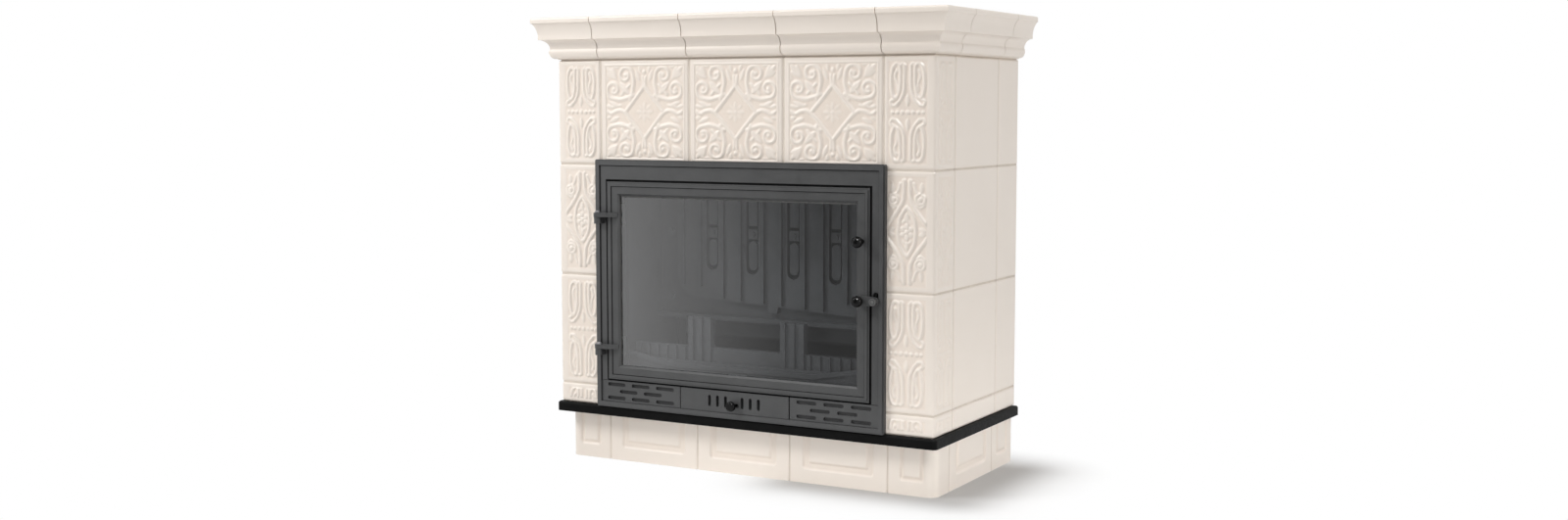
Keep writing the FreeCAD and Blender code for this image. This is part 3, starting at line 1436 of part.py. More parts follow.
def make_hood():
    """Cast smoke hood over the firebox, drawn in to the flue collar, and the baffle plate below it."""
    body = new_body("smoke_hood")
    sections = []
    for inset, low, high in (("0", "duct_top", "hood_top"),
                             ("hood_wall", "duct_top", "hood_top - hood_wall")):
        foot = sketch(body, "XY", low)
        rectangle(foot, (f"-shell_x + {inset}", f"shell_x - {inset}"),
                  (f"frame_back_y + {inset}", f"jacket_back_y - {inset}"))
        neck = sketch(body, "XY", high)
        rectangle(neck, (f"-hood_neck + {inset}", f"hood_neck - {inset}"),
                  (f"flue_y - hood_neck + {inset}", f"flue_y + hood_neck - {inset}"))
        sections.append((foot, neck))
    for kind, (foot, neck) in zip(("AdditiveLoft", "SubtractiveLoft"), sections):
        step = body.newObject("PartDesign::" + kind, "draw")
        step.Profile = foot
        step.Sections = [neck]
        step.Ruled = True
    hole = sketch(body, "XY", "hood_top")
    circle(hole, "0", "flue_y", "collar_radius - pipe_stop")
    pocket(body, hole, "hood_wall * 2")
    keep("smoke_hood", body)
    collar = new_body("flue_collar", ("0", "flue_y", "hood_top"))
    profile = sketch(collar, "XZ")
    wall = "collar_radius + collar_wall"
    outline(profile, [("collar_radius", "0"), (f"{wall} + collar_flange", "0"),
                      (f"{wall} + collar_flange", "collar_flange_thick"), (wall, "collar_flange_thick * 1.5"),
                      (wall, "collar_height"), ("collar_radius", "collar_height")])
    turned(collar, profile)
    keep("flue_collar", collar)
    keep("baffle", block("baffle", ("-lining_x + baffle_gap", "lining_x - baffle_gap"),
                         ("rib_y - baffle_depth", "rib_y"), ("baffle_z", "baffle_z + baffle_thick")))


make_body_tiles()
make_plinth()
make_band()
make_cornice()
make_top_plate()
make_boards()
make_mortar()
make_front_frame()
make_hinge_pins()
make_vent_panels()
make_frame_screws()
make_door_frame()
make_glazing()
make_glass_clips()
make_pull_knob()
make_latch()
make_ash_drawer()
make_air_slide()
make_firebox()
make_jacket()
make_back_lining()
make_hearth()
make_log_guard()
make_hearth_lip()
make_hood()
doc.recompute()

# Every object has to stand, and every cut has to take something away, before anything is written.
for item in doc.Objects:
    if "Invalid" in item.State or "Error" in item.State:
        raise RuntimeError(f"{item.Name} ({item.Label}) failed: {item.State}")
    if item.TypeId == "PartDesign::Pocket" and item.Shape.Volume >= item.BaseFeature.Shape.Volume - 0.01:
        raise RuntimeError(f"{item.Name} in {item.getParentGeoFeatureGroup().Label} cuts nothing")

os.makedirs("parts", exist_ok=True)
for label, item in nodes.items():
    if item.Shape.isNull() or not item.Shape.isValid():
        raise RuntimeError(f"{label} is not a valid solid")
for label, item in nodes.items():
    item.Shape.exportStep(f"parts/{label}.step")
print(len(nodes), "nodes,", sum(len(item.Shape.Solids) for item in nodes.values()), "solids")
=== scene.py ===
import json
import math

import bpy
import numpy as np
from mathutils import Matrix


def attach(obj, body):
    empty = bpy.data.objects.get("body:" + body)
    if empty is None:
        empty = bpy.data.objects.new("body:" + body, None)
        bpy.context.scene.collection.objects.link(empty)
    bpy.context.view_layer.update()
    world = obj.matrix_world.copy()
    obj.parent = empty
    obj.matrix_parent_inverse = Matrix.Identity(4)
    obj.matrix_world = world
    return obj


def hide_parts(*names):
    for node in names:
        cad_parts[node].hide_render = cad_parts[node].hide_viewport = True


# Tiled boiler fireplace, in metres: +X right, +Y to the back, +Z up, origin on the floor.

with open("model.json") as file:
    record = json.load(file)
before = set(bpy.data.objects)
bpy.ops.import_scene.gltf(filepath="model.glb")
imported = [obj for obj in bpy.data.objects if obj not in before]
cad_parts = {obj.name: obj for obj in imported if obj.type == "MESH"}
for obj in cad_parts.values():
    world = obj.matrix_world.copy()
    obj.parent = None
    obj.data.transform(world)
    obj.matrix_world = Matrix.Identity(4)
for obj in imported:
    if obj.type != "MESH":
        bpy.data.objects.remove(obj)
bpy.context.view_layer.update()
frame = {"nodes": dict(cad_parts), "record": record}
nodes = frame["nodes"]
scene = bpy.context.scene
scene.view_settings.view_transform = "Standard"

# Tiling of the CAD part, in millimetres: outer faces, joint lines and the sizes that follow from them

MM = 0.001
FRONT = -215.0
SIDE = 448.0
REAR = 215.0
ROUND = 6.0
THICK = 28.0
PLINTH_FRONT = -189.0
PLINTH_SIDE = 441.0
PLINTH_ROUND = 20.0

JOINT = 2.0
HALF_JOINT = JOINT / 2
FRONT_JOINTS = (-336.0, -112.0, 112.0, 336.0)
SIDE_JOINTS = (-121.0, 103.0)
LEVEL_JOINTS = (124.0, 168.0, 408.0, 648.0, 872.0)
PLINTH_JOINT = 104.0

TILE = FRONT_JOINTS[1] - FRONT_JOINTS[0] - JOINT
TILE_STARTS = [x + HALF_JOINT for x in FRONT_JOINTS[:-1]]
CORNER_FRONT = SIDE + FRONT_JOINTS[0] - HALF_JOINT
CORNER_RETURN = SIDE_JOINTS[0] - HALF_JOINT - FRONT
PLINTH_TOP = PLINTH_JOINT - HALF_JOINT
PLINTH_CORNER_FRONT = PLINTH_SIDE + FRONT_JOINTS[0] - HALF_JOINT
PLINTH_CORNER_RETURN = SIDE_JOINTS[0] - HALF_JOINT - PLINTH_FRONT

# Faces of the insert, in millimetres

FRAME_FACE = -225.0
DOOR_FACE = -227.0
PANE_REBATE = -221.0
VENT_FLOOR = -220.5
BOILER_WALL = -49.0
RECESS_WALL = 16.0
BOSS_FACE = -243.0
BOSS_X = 327.0
LATCH_Z = 390.0

# Grid and edge roundings of the moulded tiles; lengths are in millimetres

STEP = 1.3
RETURN_STEP = STEP * 1.3
PLINTH_STEP = 1.6
EDGE = 5.0
PLINTH_EDGE = 3.0
END_MARKS = np.array([0, 0.06, 0.2, 0.42, 0.7, 1.0])
ARC_POINTS = 12
SMOOTH_ANGLE = math.radians(50)


# Materials

def add_node(tree, kind, numbers=None):
    """Shader node with constant numbers on some of its sockets."""
    node = tree.nodes.new(kind)
    for socket, number in (numbers or {}).items():
        node.inputs[socket].default_value = number
    return node


def set_surface(tree, surface):
    """Connect a surface or a background to the tree's output."""
    output = next(node for node in tree.nodes if node.type in ("OUTPUT_MATERIAL", "OUTPUT_WORLD"))
    tree.links.new(surface, output.inputs["Surface"])


def bare_material(name):
    """Node material that holds nothing but its output; returns it and its node tree."""
    material = bpy.data.materials.new(name)
    material.use_nodes = True
    tree = material.node_tree
    tree.nodes.clear()
    add_node(tree, "ShaderNodeOutputMaterial")
    return material, tree


def new_material(name):
    """Node material with a principled shader; returns it, its node tree and the shader."""
    material, tree = bare_material(name)
    shader = add_node(tree, "ShaderNodeBsdfPrincipled")
    set_surface(tree, shader.outputs["BSDF"])
    return material, tree, shader


def noise(tree, scale, detail=4.0, roughness=0.55):
    """Noise in the object's own metres."""
    place = add_node(tree, "ShaderNodeTexCoord")
    numbers = {"Scale": scale, "Detail": detail, "Roughness": roughness}
    texture = add_node(tree, "ShaderNodeTexNoise", numbers)
    tree.links.new(place.outputs["Object"], texture.inputs["Vector"])
    return texture.outputs["Fac"]


def object_axis(tree, axis):
    """One of the object's own coordinates, in metres."""
    place = add_node(tree, "ShaderNodeTexCoord")
    parts = add_node(tree, "ShaderNodeSeparateXYZ")
    tree.links.new(place.outputs["Object"], parts.inputs["Vector"])
    return parts.outputs[axis]


def grey(level):
    """Colour with three equal parts."""
    return (level, level, level)


def ramp(tree, factor, stops):
    """Colour ramp through (position, colour) stops."""
    node = add_node(tree, "ShaderNodeValToRGB")
    elements = node.color_ramp.elements
    while len(elements) < len(stops):
        elements.new(0.5)
    for element, (position, colour) in zip(elements, stops):
        element.position = position
        element.color = (*colour, 1.0)
    tree.links.new(factor, node.inputs["Fac"])
    return node.outputs["Color"]


def mapped(tree, value, source, target=(0.0, 1.0), smooth=False):
    """Number that goes from one target limit to the other while a value goes through the source limits."""
    node = add_node(tree, "ShaderNodeMapRange", {"From Min": source[0], "From Max": source[1],
                                                 "To Min": target[0], "To Max": target[1]})
    node.interpolation_type = "SMOOTHSTEP" if smooth else "LINEAR"
    tree.links.new(value, node.inputs["Value"])
    return node.outputs["Result"]


def set_roughness(tree, shader, factor, low, high):
    """Roughness that follows a noise between two limits."""
    tree.links.new(mapped(tree, factor, (0.3, 0.7), (low, high)), shader.inputs["Roughness"])


def tint(tree, base, factor, colour):
    """Multiply a colour by another one as far as a factor says."""
    node = add_node(tree, "ShaderNodeMix")
    node.data_type = "RGBA"
    node.blend_type = "MULTIPLY"
    tree.links.new(factor, node.inputs["Factor"])
    tree.links.new(base, node.inputs["A"])
    node.inputs["B"].default_value = (*colour, 1.0)
    return node.outputs["Result"]


def bump(tree, shader, height, strength, distance=0.0006):
    """Relief that is too fine to model."""
    node = add_node(tree, "ShaderNodeBump", {"Strength": strength, "Distance": distance})
    tree.links.new(height, node.inputs["Height"])
    tree.links.new(node.outputs["Normal"], shader.inputs["Normal"])


def mix_shaders(tree, share, first, second):
    """Blend of two shaders with a given share of the second."""
    mix = add_node(tree, "ShaderNodeMixShader")
    tree.links.new(share, mix.inputs["Fac"])
    tree.links.new(first, mix.inputs[1])
    tree.links.new(second, mix.inputs[2])
    return mix.outputs["Shader"]


def make_glaze():
    """Ivory glaze: cloudy tone, slightly warmer glaze in the hollows and soft waves in the gloss."""
    material, tree, shader = new_material("ivory_glaze")
    cloud = noise(tree, scale=4.0, detail=3.0)
    colour = ramp(tree, cloud, [(0.3, (0.790, 0.716, 0.642)), (0.7, (0.808, 0.736, 0.664))])
    hollow = add_node(tree, "ShaderNodeAttribute")
    hollow.attribute_name = "hollow"
    colour = tint(tree, colour, hollow.outputs["Fac"], (0.985, 0.955, 0.930))
    tree.links.new(colour, shader.inputs["Base Color"])
    set_roughness(tree, shader, noise(tree, scale=9.0, detail=2.0), 0.40, 0.47)
    shader.inputs["Coat Weight"].default_value = 0.08
    shader.inputs["Coat Roughness"].default_value = 0.25
    bump(tree, shader, noise(tree, scale=16.0, detail=1.0), strength=0.03, distance=0.001)
    return material


def make_iron(name, dark, light, rough, grain=900.0, specular=0.5):
    """Stove-painted cast iron: fine sand grain, cloudy tone and slightly polished patches."""
    material, tree, shader = new_material(name)
    colour = ramp(tree, noise(tree, scale=14.0, detail=5.0), [(0.32, dark), (0.68, light)])
    colour = tint(tree, colour, noise(tree, grain * 0.8, detail=2.0), grey(0.80))
    tree.links.new(colour, shader.inputs["Base Color"])
    set_roughness(tree, shader, noise(tree, scale=60.0), rough - 0.06, rough + 0.08)
    shader.inputs["Metallic"].default_value = 0.15
    shader.inputs["Specular IOR Level"].default_value = specular
    bump(tree, shader, noise(tree, grain, detail=3.0, roughness=0.7), strength=0.22)
    return material


def make_plain(name, dark, light, rough, scale, grain, strength, metallic=0.0, specular=0.5):
    """General matt or satin finish with a tone that drifts and a grain in relief."""
    material, tree, shader = new_material(name)
    colour = ramp(tree, noise(tree, scale, detail=5.0), [(0.3, dark), (0.7, light)])
    tree.links.new(colour, shader.inputs["Base Color"])
    set_roughness(tree, shader, noise(tree, scale * 4.0), rough - 0.05, rough + 0.06)
    shader.inputs["Metallic"].default_value = metallic
    shader.inputs["Specular IOR Level"].default_value = specular
    bump(tree, shader, noise(tree, grain, detail=3.0, roughness=0.65), strength)
    return material


def make_glass():
    """Fireproof pane: smoky and clear, with a coated near face that mirrors the room."""
    mirror_share = 0.14
    material, tree = bare_material("fireproof_glass")
    clear = add_node(tree, "ShaderNodeBsdfTransparent")
    cloud = noise(tree, scale=6.0, detail=2.0)
    smoke = ramp(tree, cloud, [(0.3, (0.90, 0.91, 0.92)), (0.7, (0.93, 0.94, 0.95))])
    tree.links.new(smoke, clear.inputs["Color"])
    gloss = add_node(tree, "ShaderNodeBsdfGlossy", {"Roughness": 0.06})
    side = add_node(tree, "ShaderNodeNewGeometry")
    share = mapped(tree, side.outputs["Backfacing"], (0.0, 1.0), (mirror_share, 0.0))
    set_surface(tree, mix_shaders(tree, share, clear.outputs["BSDF"], gloss.outputs["BSDF"]))
    return material


def make_wall_painted_shade():
    """Boiler wall under the ledge: painted light above and painted shade along its foot."""
    material, tree, shader = new_material("recess_wall")
    level = mapped(tree, object_axis(tree, "Z"), (0.236, 0.306))
    tone = ramp(tree, level, [(0.30, grey(0.040)), (0.42, grey(0.170))])
    tree.links.new(tint(tree, tone, noise(tree, scale=40.0), grey(0.85)), shader.inputs["Base Color"])
    shader.inputs["Roughness"].default_value = 0.7
    return material


MATERIALS = {
    "glaze": make_glaze(),
    "grout": make_plain("joint_mortar", (0.60, 0.53, 0.46), (0.70, 0.62, 0.54), rough=0.85,
                        scale=30.0, grain=500.0, strength=0.3),
    "ledge_stone": make_plain("black_ledge", grey(0.003), grey(0.005), rough=0.5,
                              scale=25.0, grain=700.0, strength=0.12, specular=0.06),
    "board": make_plain("fibre_board", (0.46, 0.44, 0.40), (0.54, 0.52, 0.48), rough=0.9,
                        scale=20.0, grain=350.0, strength=0.5),
    "black_steel": make_plain("black_plate", (0.025, 0.025, 0.026), (0.034, 0.034, 0.035), rough=0.66,
                              scale=18.0, grain=1200.0, strength=0.12, specular=0.18),
    "cast_iron": make_iron("cast_iron", (0.042, 0.043, 0.044), (0.055, 0.056, 0.057), rough=0.48,
                           specular=0.7),
    "lining_iron": make_iron("lining_iron", (0.082, 0.083, 0.084), (0.106, 0.107, 0.108), rough=0.55),
    "boiler_steel": make_iron("sheet_steel", (0.066, 0.067, 0.068), (0.084, 0.085, 0.086), rough=0.5,
                              grain=1400.0),
    "steel": make_plain("plain_steel", (0.25, 0.25, 0.26), (0.32, 0.32, 0.33), rough=0.4,
                        scale=40.0, grain=900.0, strength=0.1, metallic=1.0),
    "black_knob": make_plain("black_knob", grey(0.003), grey(0.006), rough=0.06,
                             scale=60.0, grain=1500.0, strength=0.01, specular=0.16),
    "glass": make_glass(),
    "seal_rope": make_plain("glass_rope", (0.22, 0.21, 0.19), (0.42, 0.40, 0.36), rough=0.9,
                            scale=260.0, grain=700.0, strength=0.8),
}

# Other copies of the iron and rope: painted shade, a painted reflection, and darker or lighter tones

# Darker copy of the lining iron for the hearth bed, lip and guard.
DARKER_LINING_NODES = ("hearth_bed", "hearth_lip", "log_guard")
DARKER_LINING_IRON = make_iron("darker_lining_iron", (0.052, 0.052, 0.053), (0.068, 0.068, 0.069), rough=0.65)
# Dark iron for painted shade on the vent slots' floors.
SLOT_SHADE_IRON = make_iron("slot_painted_shade", (0.026, 0.026, 0.027), (0.038, 0.038, 0.039), rough=0.7)
# Darker iron for painted shade in the ribbed plate's slots.
PLATE_SHADE_IRON = make_iron("plate_painted_shade", (0.014, 0.014, 0.015), (0.022, 0.022, 0.023), rough=0.75)
# Near-black iron for painted shade in the gaps and beside the beads.
EDGE_SHADE_IRON = make_iron("edge_painted_shade", grey(0.006), grey(0.010), rough=0.9, specular=0.1)
# Darker and lighter iron for the ring and face of the lever's boss.
DARK_RING_IRON = make_iron("dark_ring_iron", grey(0.020), grey(0.030), rough=0.8)
LIGHT_BOSS_IRON = make_iron("light_boss_iron", grey(0.11), grey(0.14), rough=0.45)
# Grey rope tape, also a painted reflection along the pane's top edge.
TAPE_AND_REFLECTION = make_plain("tape_and_painted_reflection", (0.075, 0.075, 0.074), (0.105, 0.105, 0.103), rough=0.8,
                         scale=90.0, grain=700.0, strength=0.4)

slot_of = {entry["node"]: entry["material_slot"] for entry in frame["record"]["subparts"]}
for name, piece in nodes.items():
    piece.data.materials.clear()
    piece.data.materials.append(DARKER_LINING_IRON if name in DARKER_LINING_NODES else MATERIALS[slot_of[name]])


# Relief: a height field worked out from ridges along drawn curves

def curve(points, steps=24):
    """Smooth line through points (Catmull-Rom)."""
    points = np.array(points, float)
    padded = np.vstack([2 * points[0] - points[1], points, 2 * points[-1] - points[-2]])
    line = []
    for index in range(1, len(padded) - 2):
        a, b, c, d = padded[index - 1:index + 3]
        for t in np.linspace(0, 1, steps, endpoint=False):
            line.append(0.5 * (2 * b + (c - a) * t + (2 * a - 5 * b + 4 * c - d) * t ** 2
                               + (3 * b - a - 3 * c + d) * t ** 3))
    line.append(points[-1])
    return np.array(line)


def spiral(centre, radius, inner, start, turn, steps=72):
    """Scroll that winds in from a radius to an inner radius through a turn in degrees."""
    angle = np.radians(np.linspace(start, start + turn, steps))
    reach = np.linspace(radius, inner, steps)
    return np.stack([centre[0] + reach * np.cos(angle), centre[1] + reach * np.sin(angle)], 1)


def distance(u, v, line):
    """Distance of grid points from a polyline, and how far along it they lie (0 to 1)."""
    best = np.full(u.shape, 1e9)
    along = np.zeros(u.shape)
    last = len(line) - 1
    for index in range(last):
        ax, ay = line[index]
        bx, by = line[index + 1]
        dx, dy = bx - ax, by - ay
        share = np.clip(((u - ax) * dx + (v - ay) * dy) / (dx * dx + dy * dy + 1e-9), 0, 1)
        away = np.hypot(u - ax - share * dx, v - ay - share * dy)
        near = away < best
        best = np.where(near, away, best)
        along = np.where(near, (index + share) / last, along)
    return best, along


def ridge(away, width, height):
    """Round-backed ridge."""
    return height * np.sqrt(np.clip(1 - (away / width) ** 2, 0, 1))


class Relief:
    """Height field in millimetres that gathers ridges, balls and leaves."""

    def __init__(self, u, v, bold=1.0):
        self.u = u
        self.v = v
        self.bold = bold
        self.height = np.zeros(u.shape)

    def add(self, height):
        """Keep whatever stands higher."""
        self.height = np.maximum(self.height, height)

    def line(self, points, width, height, taper=0.0):
        """Ridge along a polyline, thinner towards its end by a taper."""
        away, along = distance(self.u, self.v, points)
        size = 1 - taper * along
        self.add(ridge(away / size, width * self.bold, height * (0.6 + 0.4 * size)))

    def ball(self, centre, radius, height):
        """Round boss."""
        away = np.hypot(self.u - centre[0], self.v - centre[1])
        self.add(ridge(away, radius, height))

    def leaf(self, start, stop, width, height):
        """Pointed leaf with a sunk midrib."""
        away, along = distance(self.u, self.v, np.array([start, stop], float))
        swell = np.sin(np.pi * np.clip(along * 0.92 + 0.06, 0, 1)) ** 0.8 * width + 0.2
        rise = ridge(away, swell, height)
        self.add(rise * (1 - 0.35 * np.exp(-(away / (0.22 * width)) ** 2)))


def soften(height, passes):
    """Smooth a height field over its neighbours."""
    for _ in range(passes):
        for axis in (0, 1):
            padded = np.pad(height, [(1, 1) if k == axis else (0, 0) for k in (0, 1)], mode="edge")
            size = height.shape[axis]
            before, middle, after = (np.take(padded, range(k, k + size), axis) for k in (0, 1, 2))
            height = (before + 2 * middle + after) / 4
    return height


def soft_step(x, low, high):
    """Smooth rise from 0 to 1 between two limits."""
    t = np.clip((x - low) / (high - low), 0, 1)
    return t * t * (3 - 2 * t)


def pillow(away, radius):
    """Drop of a quarter-round edge at a distance from it."""
    inside = np.clip(radius - away, 0, radius)
    return np.sqrt(np.clip(radius ** 2 - inside ** 2, 0, None)) - radius


def bare_ground(relief):
    """1 where a relief leaves its ground bare, falling to 0 where it stands 1.2 mm high."""
    return np.clip(1 - relief / 1.2, 0, 1)


def grains(u, v, seed):
    """Small seeded hammer marks for the sunk ground of a relief."""
    size = 64
    coarse = 6.5
    fine = 3.1
    table = np.random.default_rng(seed).random((size, size))

    def sample(step):
        x = u / step
        y = v / step
        i = np.floor(x).astype(int)
        j = np.floor(y).astype(int)
        fx = soft_step(x - i, 0, 1)
        fy = soft_step(y - j, 0, 1)
        a = table[i % size, j % size]
        b = table[(i + 1) % size, j % size]
        c = table[i % size, (j + 1) % size]
        d = table[(i + 1) % size, (j + 1) % size]
        return (a * (1 - fx) + b * fx) * (1 - fy) + (c * (1 - fx) + d * fx) * fy

    return 0.6 * sample(coarse) + 0.4 * sample(fine) - 0.5


# Ornament, drawn in millimetres from the tile's centre: points first, then width and height

def field_pattern(u, v):
    """Square tile: a diamond whose lower sides sweep out to the borders, hearts of scrolls, palmettes."""
    p = np.abs(u)
    q = np.abs(v)
    relief = Relief(p, q)
    relief.line(curve([(0, 55), (24, 27), (46, 3)]), 4.2, 2.6)
    relief.leaf((39, 39), (62, 62), 6.8, 2.3)
    relief.line(curve([(37, 57), (45, 50), (50, 45), (57, 37)]), 3.2, 2.0)
    relief.leaf((72, 72), (97, 97), 5.2, 2.4)
    relief.leaf((4, 4), (15, 15), 3.8, 0.9)
    relief.ball((0, 0), 4.6, 1.4)
    relief.line(curve([(3.2, 53), (3.0, 64), (3.6, 74)]), 2.8, 2.2)
    relief.ball((0, 84), 4.8, 2.3)
    for heart in (Relief(p, q), Relief(q, p)):
        heart.line(curve([(36, 27), (30, 44), (26.5, 62), (28.5, 78)]), 4.2, 2.7)
        heart.line(spiral((47.5, 78), 19, 7.0, 180, -390), 4.0, 2.7, taper=0.25)
        heart.ball((47.5, 78), 4.8, 2.5)
        heart.leaf((70, 72), (96, 82), 5.0, 2.1)
        heart.leaf((64, 94), (80, 98), 3.4, 1.7)
        heart.leaf((12, 66), (21, 88), 4.6, 1.9)
        heart.leaf((10, 84), (14, 98), 3.8, 1.7)
        heart.leaf((0, 5), (0, 21), 4.4, 1.1)
        relief.add(heart.height)
    sweep = Relief(p, v)
    sweep.line(curve([(34, -15), (46, -4), (58, 3), (72, 2), (84, -3), (96, 2)]), 4.0, 2.4)
    sweep.line(curve([(60, 14), (72, 13), (84, 10), (97, 14)]), 2.6, 1.6)
    relief.add(sweep.height)
    return soften(relief.height, 2)


def loop_pattern(u, v, top):
    """Tall narrow tile: paired bars and long loops with curled ends, mirrored top and bottom."""
    relief = Relief(np.abs(u), np.abs(v), bold=1.3)
    relief.line(curve([(6.8, top - 4), (6.8, top * 0.72), (7.8, top * 0.46), (14, top * 0.28),
                       (25, top * 0.15)]), 2.7, 2.3)
    relief.line(curve([(6.8, top - 4), (11, top), (15, top - 5)]), 2.2, 2.0)
    relief.line(curve([(15, top * 0.86), (18, top * 0.97), (25, top * 0.99), (32, top * 0.90),
                       (35, top * 0.66), (33, top * 0.42), (27, top * 0.29), (20, top * 0.36),
                       (16, top * 0.55), (15, top * 0.86)]), 2.7, 2.4)
    relief.line(curve([(23, top * 0.86), (27, top * 0.74), (22, top * 0.60), (22, top * 0.44)]), 2.5, 1.7,
                taper=0.4)
    relief.ball((23.5, top * 0.84), 3.8, 2.0)
    relief.line(curve([(24, top * 0.15), (33, top * 0.14), (36, top * 0.22), (31, top * 0.26)]), 2.4, 2.0)
    for place, radius in ((0, 5.0), (11.5, 4.4), (22, 4.2), (32, 3.8)):
        relief.ball((place, 0), radius, 2.1)
    relief.leaf((0, top * 0.14), (0, top * 0.36), 4.2, 1.9)
    return soften(relief.height, 1)


def lattice_pattern(u, v, top):
    """Tall narrow tile: crossing bands round a lens with a flower, and a ringed boss in each corner."""
    relief = Relief(np.abs(u), np.abs(v), bold=1.3)
    relief.line(curve([(6.5, top - 3), (6.5, top * 0.74), (9.5, top * 0.58), (20, top * 0.40),
                       (33, top * 0.24), (44, top * 0.12)]), 3.3, 2.4)
    relief.line(curve([(0, top * 0.47), (8, top * 0.38), (16, top * 0.22), (19, 0)]), 2.8, 2.2)
    relief.line(curve([(14, top * 0.92), (18, top * 0.80), (22, top * 0.74), (27, top * 0.72)]), 2.4, 1.8,
                taper=0.4)
    relief.line(spiral((29, top * 0.62), 10.5, 9.0, 95, 330), 2.4, 2.3)
    relief.ball((29, top * 0.62), 6.2, 3.2)
    relief.leaf((30, top * 0.73), (31, top * 0.93), 4.4, 1.7)
    relief.line(curve([(38, top * 0.52), (30, top * 0.46), (22, top * 0.50)]), 2.3, 1.7)
    relief.ball((0, 0), 4.4, 2.3)
    for angle in (30, 90):
        cos = np.cos(np.radians(angle))
        sin = np.sin(np.radians(angle))
        relief.leaf((5.5 * cos, 5.5 * sin), (15.5 * cos, 17 * sin), 5.0, 2.0)
    relief.leaf((0, top * 0.19), (0, top * 0.36), 4.6, 1.9)
    relief.leaf((4, top * 0.22), (11, top * 0.16), 3.0, 1.4)
    relief.leaf((27, top * 0.06), (40, top * 0.02), 4.6, 1.7)
    return soften(relief.height, 1)


# Moulded tiles in place of the plainer CAD tiles

def place_mesh(name, vertices, faces, material):
    """Object in the scene with one mesh and one material."""
    mesh = bpy.data.meshes.new(name)
    mesh.from_pydata(vertices, [], faces)
    mesh.materials.append(material)
    piece = bpy.data.objects.new(name, mesh)
    scene.collection.objects.link(piece)
    return piece


def joined(blocks):
    """Vertices and faces of several meshes as one."""
    vertices = []
    faces = []
    for block_vertices, block_faces in blocks:
        base = len(vertices)
        vertices.extend(block_vertices)
        faces.extend(tuple(base + index for index in face) for face in block_faces)
    return vertices, faces


def add_tiles(name, blocks, node):
    """One object from closed tile blocks given as (vertices, faces, hollow), in place of a CAD node."""
    vertices, faces = joined(block[:2] for block in blocks)
    piece = place_mesh(name, vertices, faces, MATERIALS["glaze"])
    hollow = np.concatenate([block[2] for block in blocks])
    attribute = piece.data.attributes.new("hollow", "FLOAT", "POINT")
    attribute.data.foreach_set("value", hollow.astype(np.float32))
    piece.data.shade_smooth()
    piece.data.set_sharp_from_angle(angle=SMOOTH_ANGLE)
    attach(piece, "surround")
    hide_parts(node)


def marks(length, step):
    """Grid marks along a length, set closer together at the rounded ends."""
    ends = EDGE * END_MARKS
    count = max(2, int(round((length - 2 * EDGE) / step)))
    middle = np.linspace(EDGE, length - EDGE, count + 1)[1:-1]
    return np.concatenate([ends, middle, length - ends[::-1]])


def tile_block(rail, inner, low, high, height, flip=False, step=STEP):
    """Closed tile between two levels: a moulded face along a rail of (x, y, nx, ny), a plain back.

    The back follows the inner points. height(levels) gives the face's rise in millimetres and its
    hollow mark over the rail's steps and the levels. A flipped tile is mirrored from left to right."""
    levels = marks(high - low, step)
    rise, hollow = height(levels)
    vertices = []
    for i, (x, y, nx, ny) in enumerate(rail):
        for j, level in enumerate(levels):
            vertices.append(((x + nx * rise[i, j]) * MM, (y + ny * rise[i, j]) * MM, (low + level) * MM))
    rows = len(levels)
    columns = len(rail)
    faces = []
    for i in range(columns - 1):
        for j in range(rows - 1):
            a = i * rows + j
            faces.append((a, a + rows, a + rows + 1, a + 1))
    back = len(vertices)
    for x, y in inner:
        for level in (low, high):
            vertices.append((x * MM, y * MM, level * MM))
    for k in range(len(inner) - 1):
        a = back + 2 * k
        faces.append((a, a + 1, a + 3, a + 2))
    bottom = [i * rows for i in range(columns)]
    top = [i * rows + rows - 1 for i in range(columns)]
    inner_low = [back + 2 * k for k in range(len(inner))]
    inner_high = [back + 2 * k + 1 for k in range(len(inner))]
    first = list(range(rows))
    last = [(columns - 1) * rows + j for j in range(rows)]
    faces.append(tuple(inner_low + bottom[::-1]))
    faces.append(tuple(top + inner_high[::-1]))
    faces.append(tuple([inner_high[0], inner_low[0]] + first))
    faces.append(tuple([inner_low[-1], inner_high[-1]] + last[::-1]))
    if flip:
        vertices = [(-x, y, z) for x, y, z in vertices]
        faces = [face[::-1] for face in faces]
    shade = np.concatenate([np.ravel(hollow), np.zeros(2 * len(inner))])
    return vertices, faces, shade


def flat_face(start, y, step):
    """Front of a whole tile from left to right: its rail, its inner points and its places across."""
    rail = [(start + mark, y, 0.0, -1.0) for mark in marks(TILE, step)]
    inner = [(start, y + THICK), (start + TILE, y + THICK)]
    across = np.array([point[0] for point in rail]) - start
    return rail, inner, across


def corner_face(side, y, front, back, radius):
    """Face round the left outer corner, from the rear end of its return to the inner end of its front.

    Gives the rail, the inner points, the unrolled places along the rail and the place where the
    flat front begins."""
    fine_marks = len(END_MARKS) - 1
    rail = []
    along = []
    for mark in marks(back - radius, RETURN_STEP)[:-fine_marks]:
        rail.append((-side, y + back - mark, -1.0, 0.0))
        along.append(mark)
    for angle in np.linspace(0, 90, ARC_POINTS):
        a = math.radians(angle)
        nx = -math.cos(a)
        ny = -math.sin(a)
        rail.append((-side + radius + radius * nx, y + radius + radius * ny, nx, ny))
        along.append(back - radius + radius * a)
    begin = back - radius + radius * math.pi / 2
    for mark in marks(front - radius, STEP)[fine_marks:]:
        rail.append((-side + radius + mark, y, 0.0, -1.0))
        along.append(begin + mark)
    inner = [(-side + THICK, y + back), (-side + THICK, y + THICK), (-side + front, y + THICK)]
    return rail, inner, np.array(along), begin


def row_levels(number):
    """Foot and head of a row of tiles above the ledge, counted from the top row."""
    return LEVEL_JOINTS[-2 - number] + HALF_JOINT, LEVEL_JOINTS[-1 - number] - HALF_JOINT


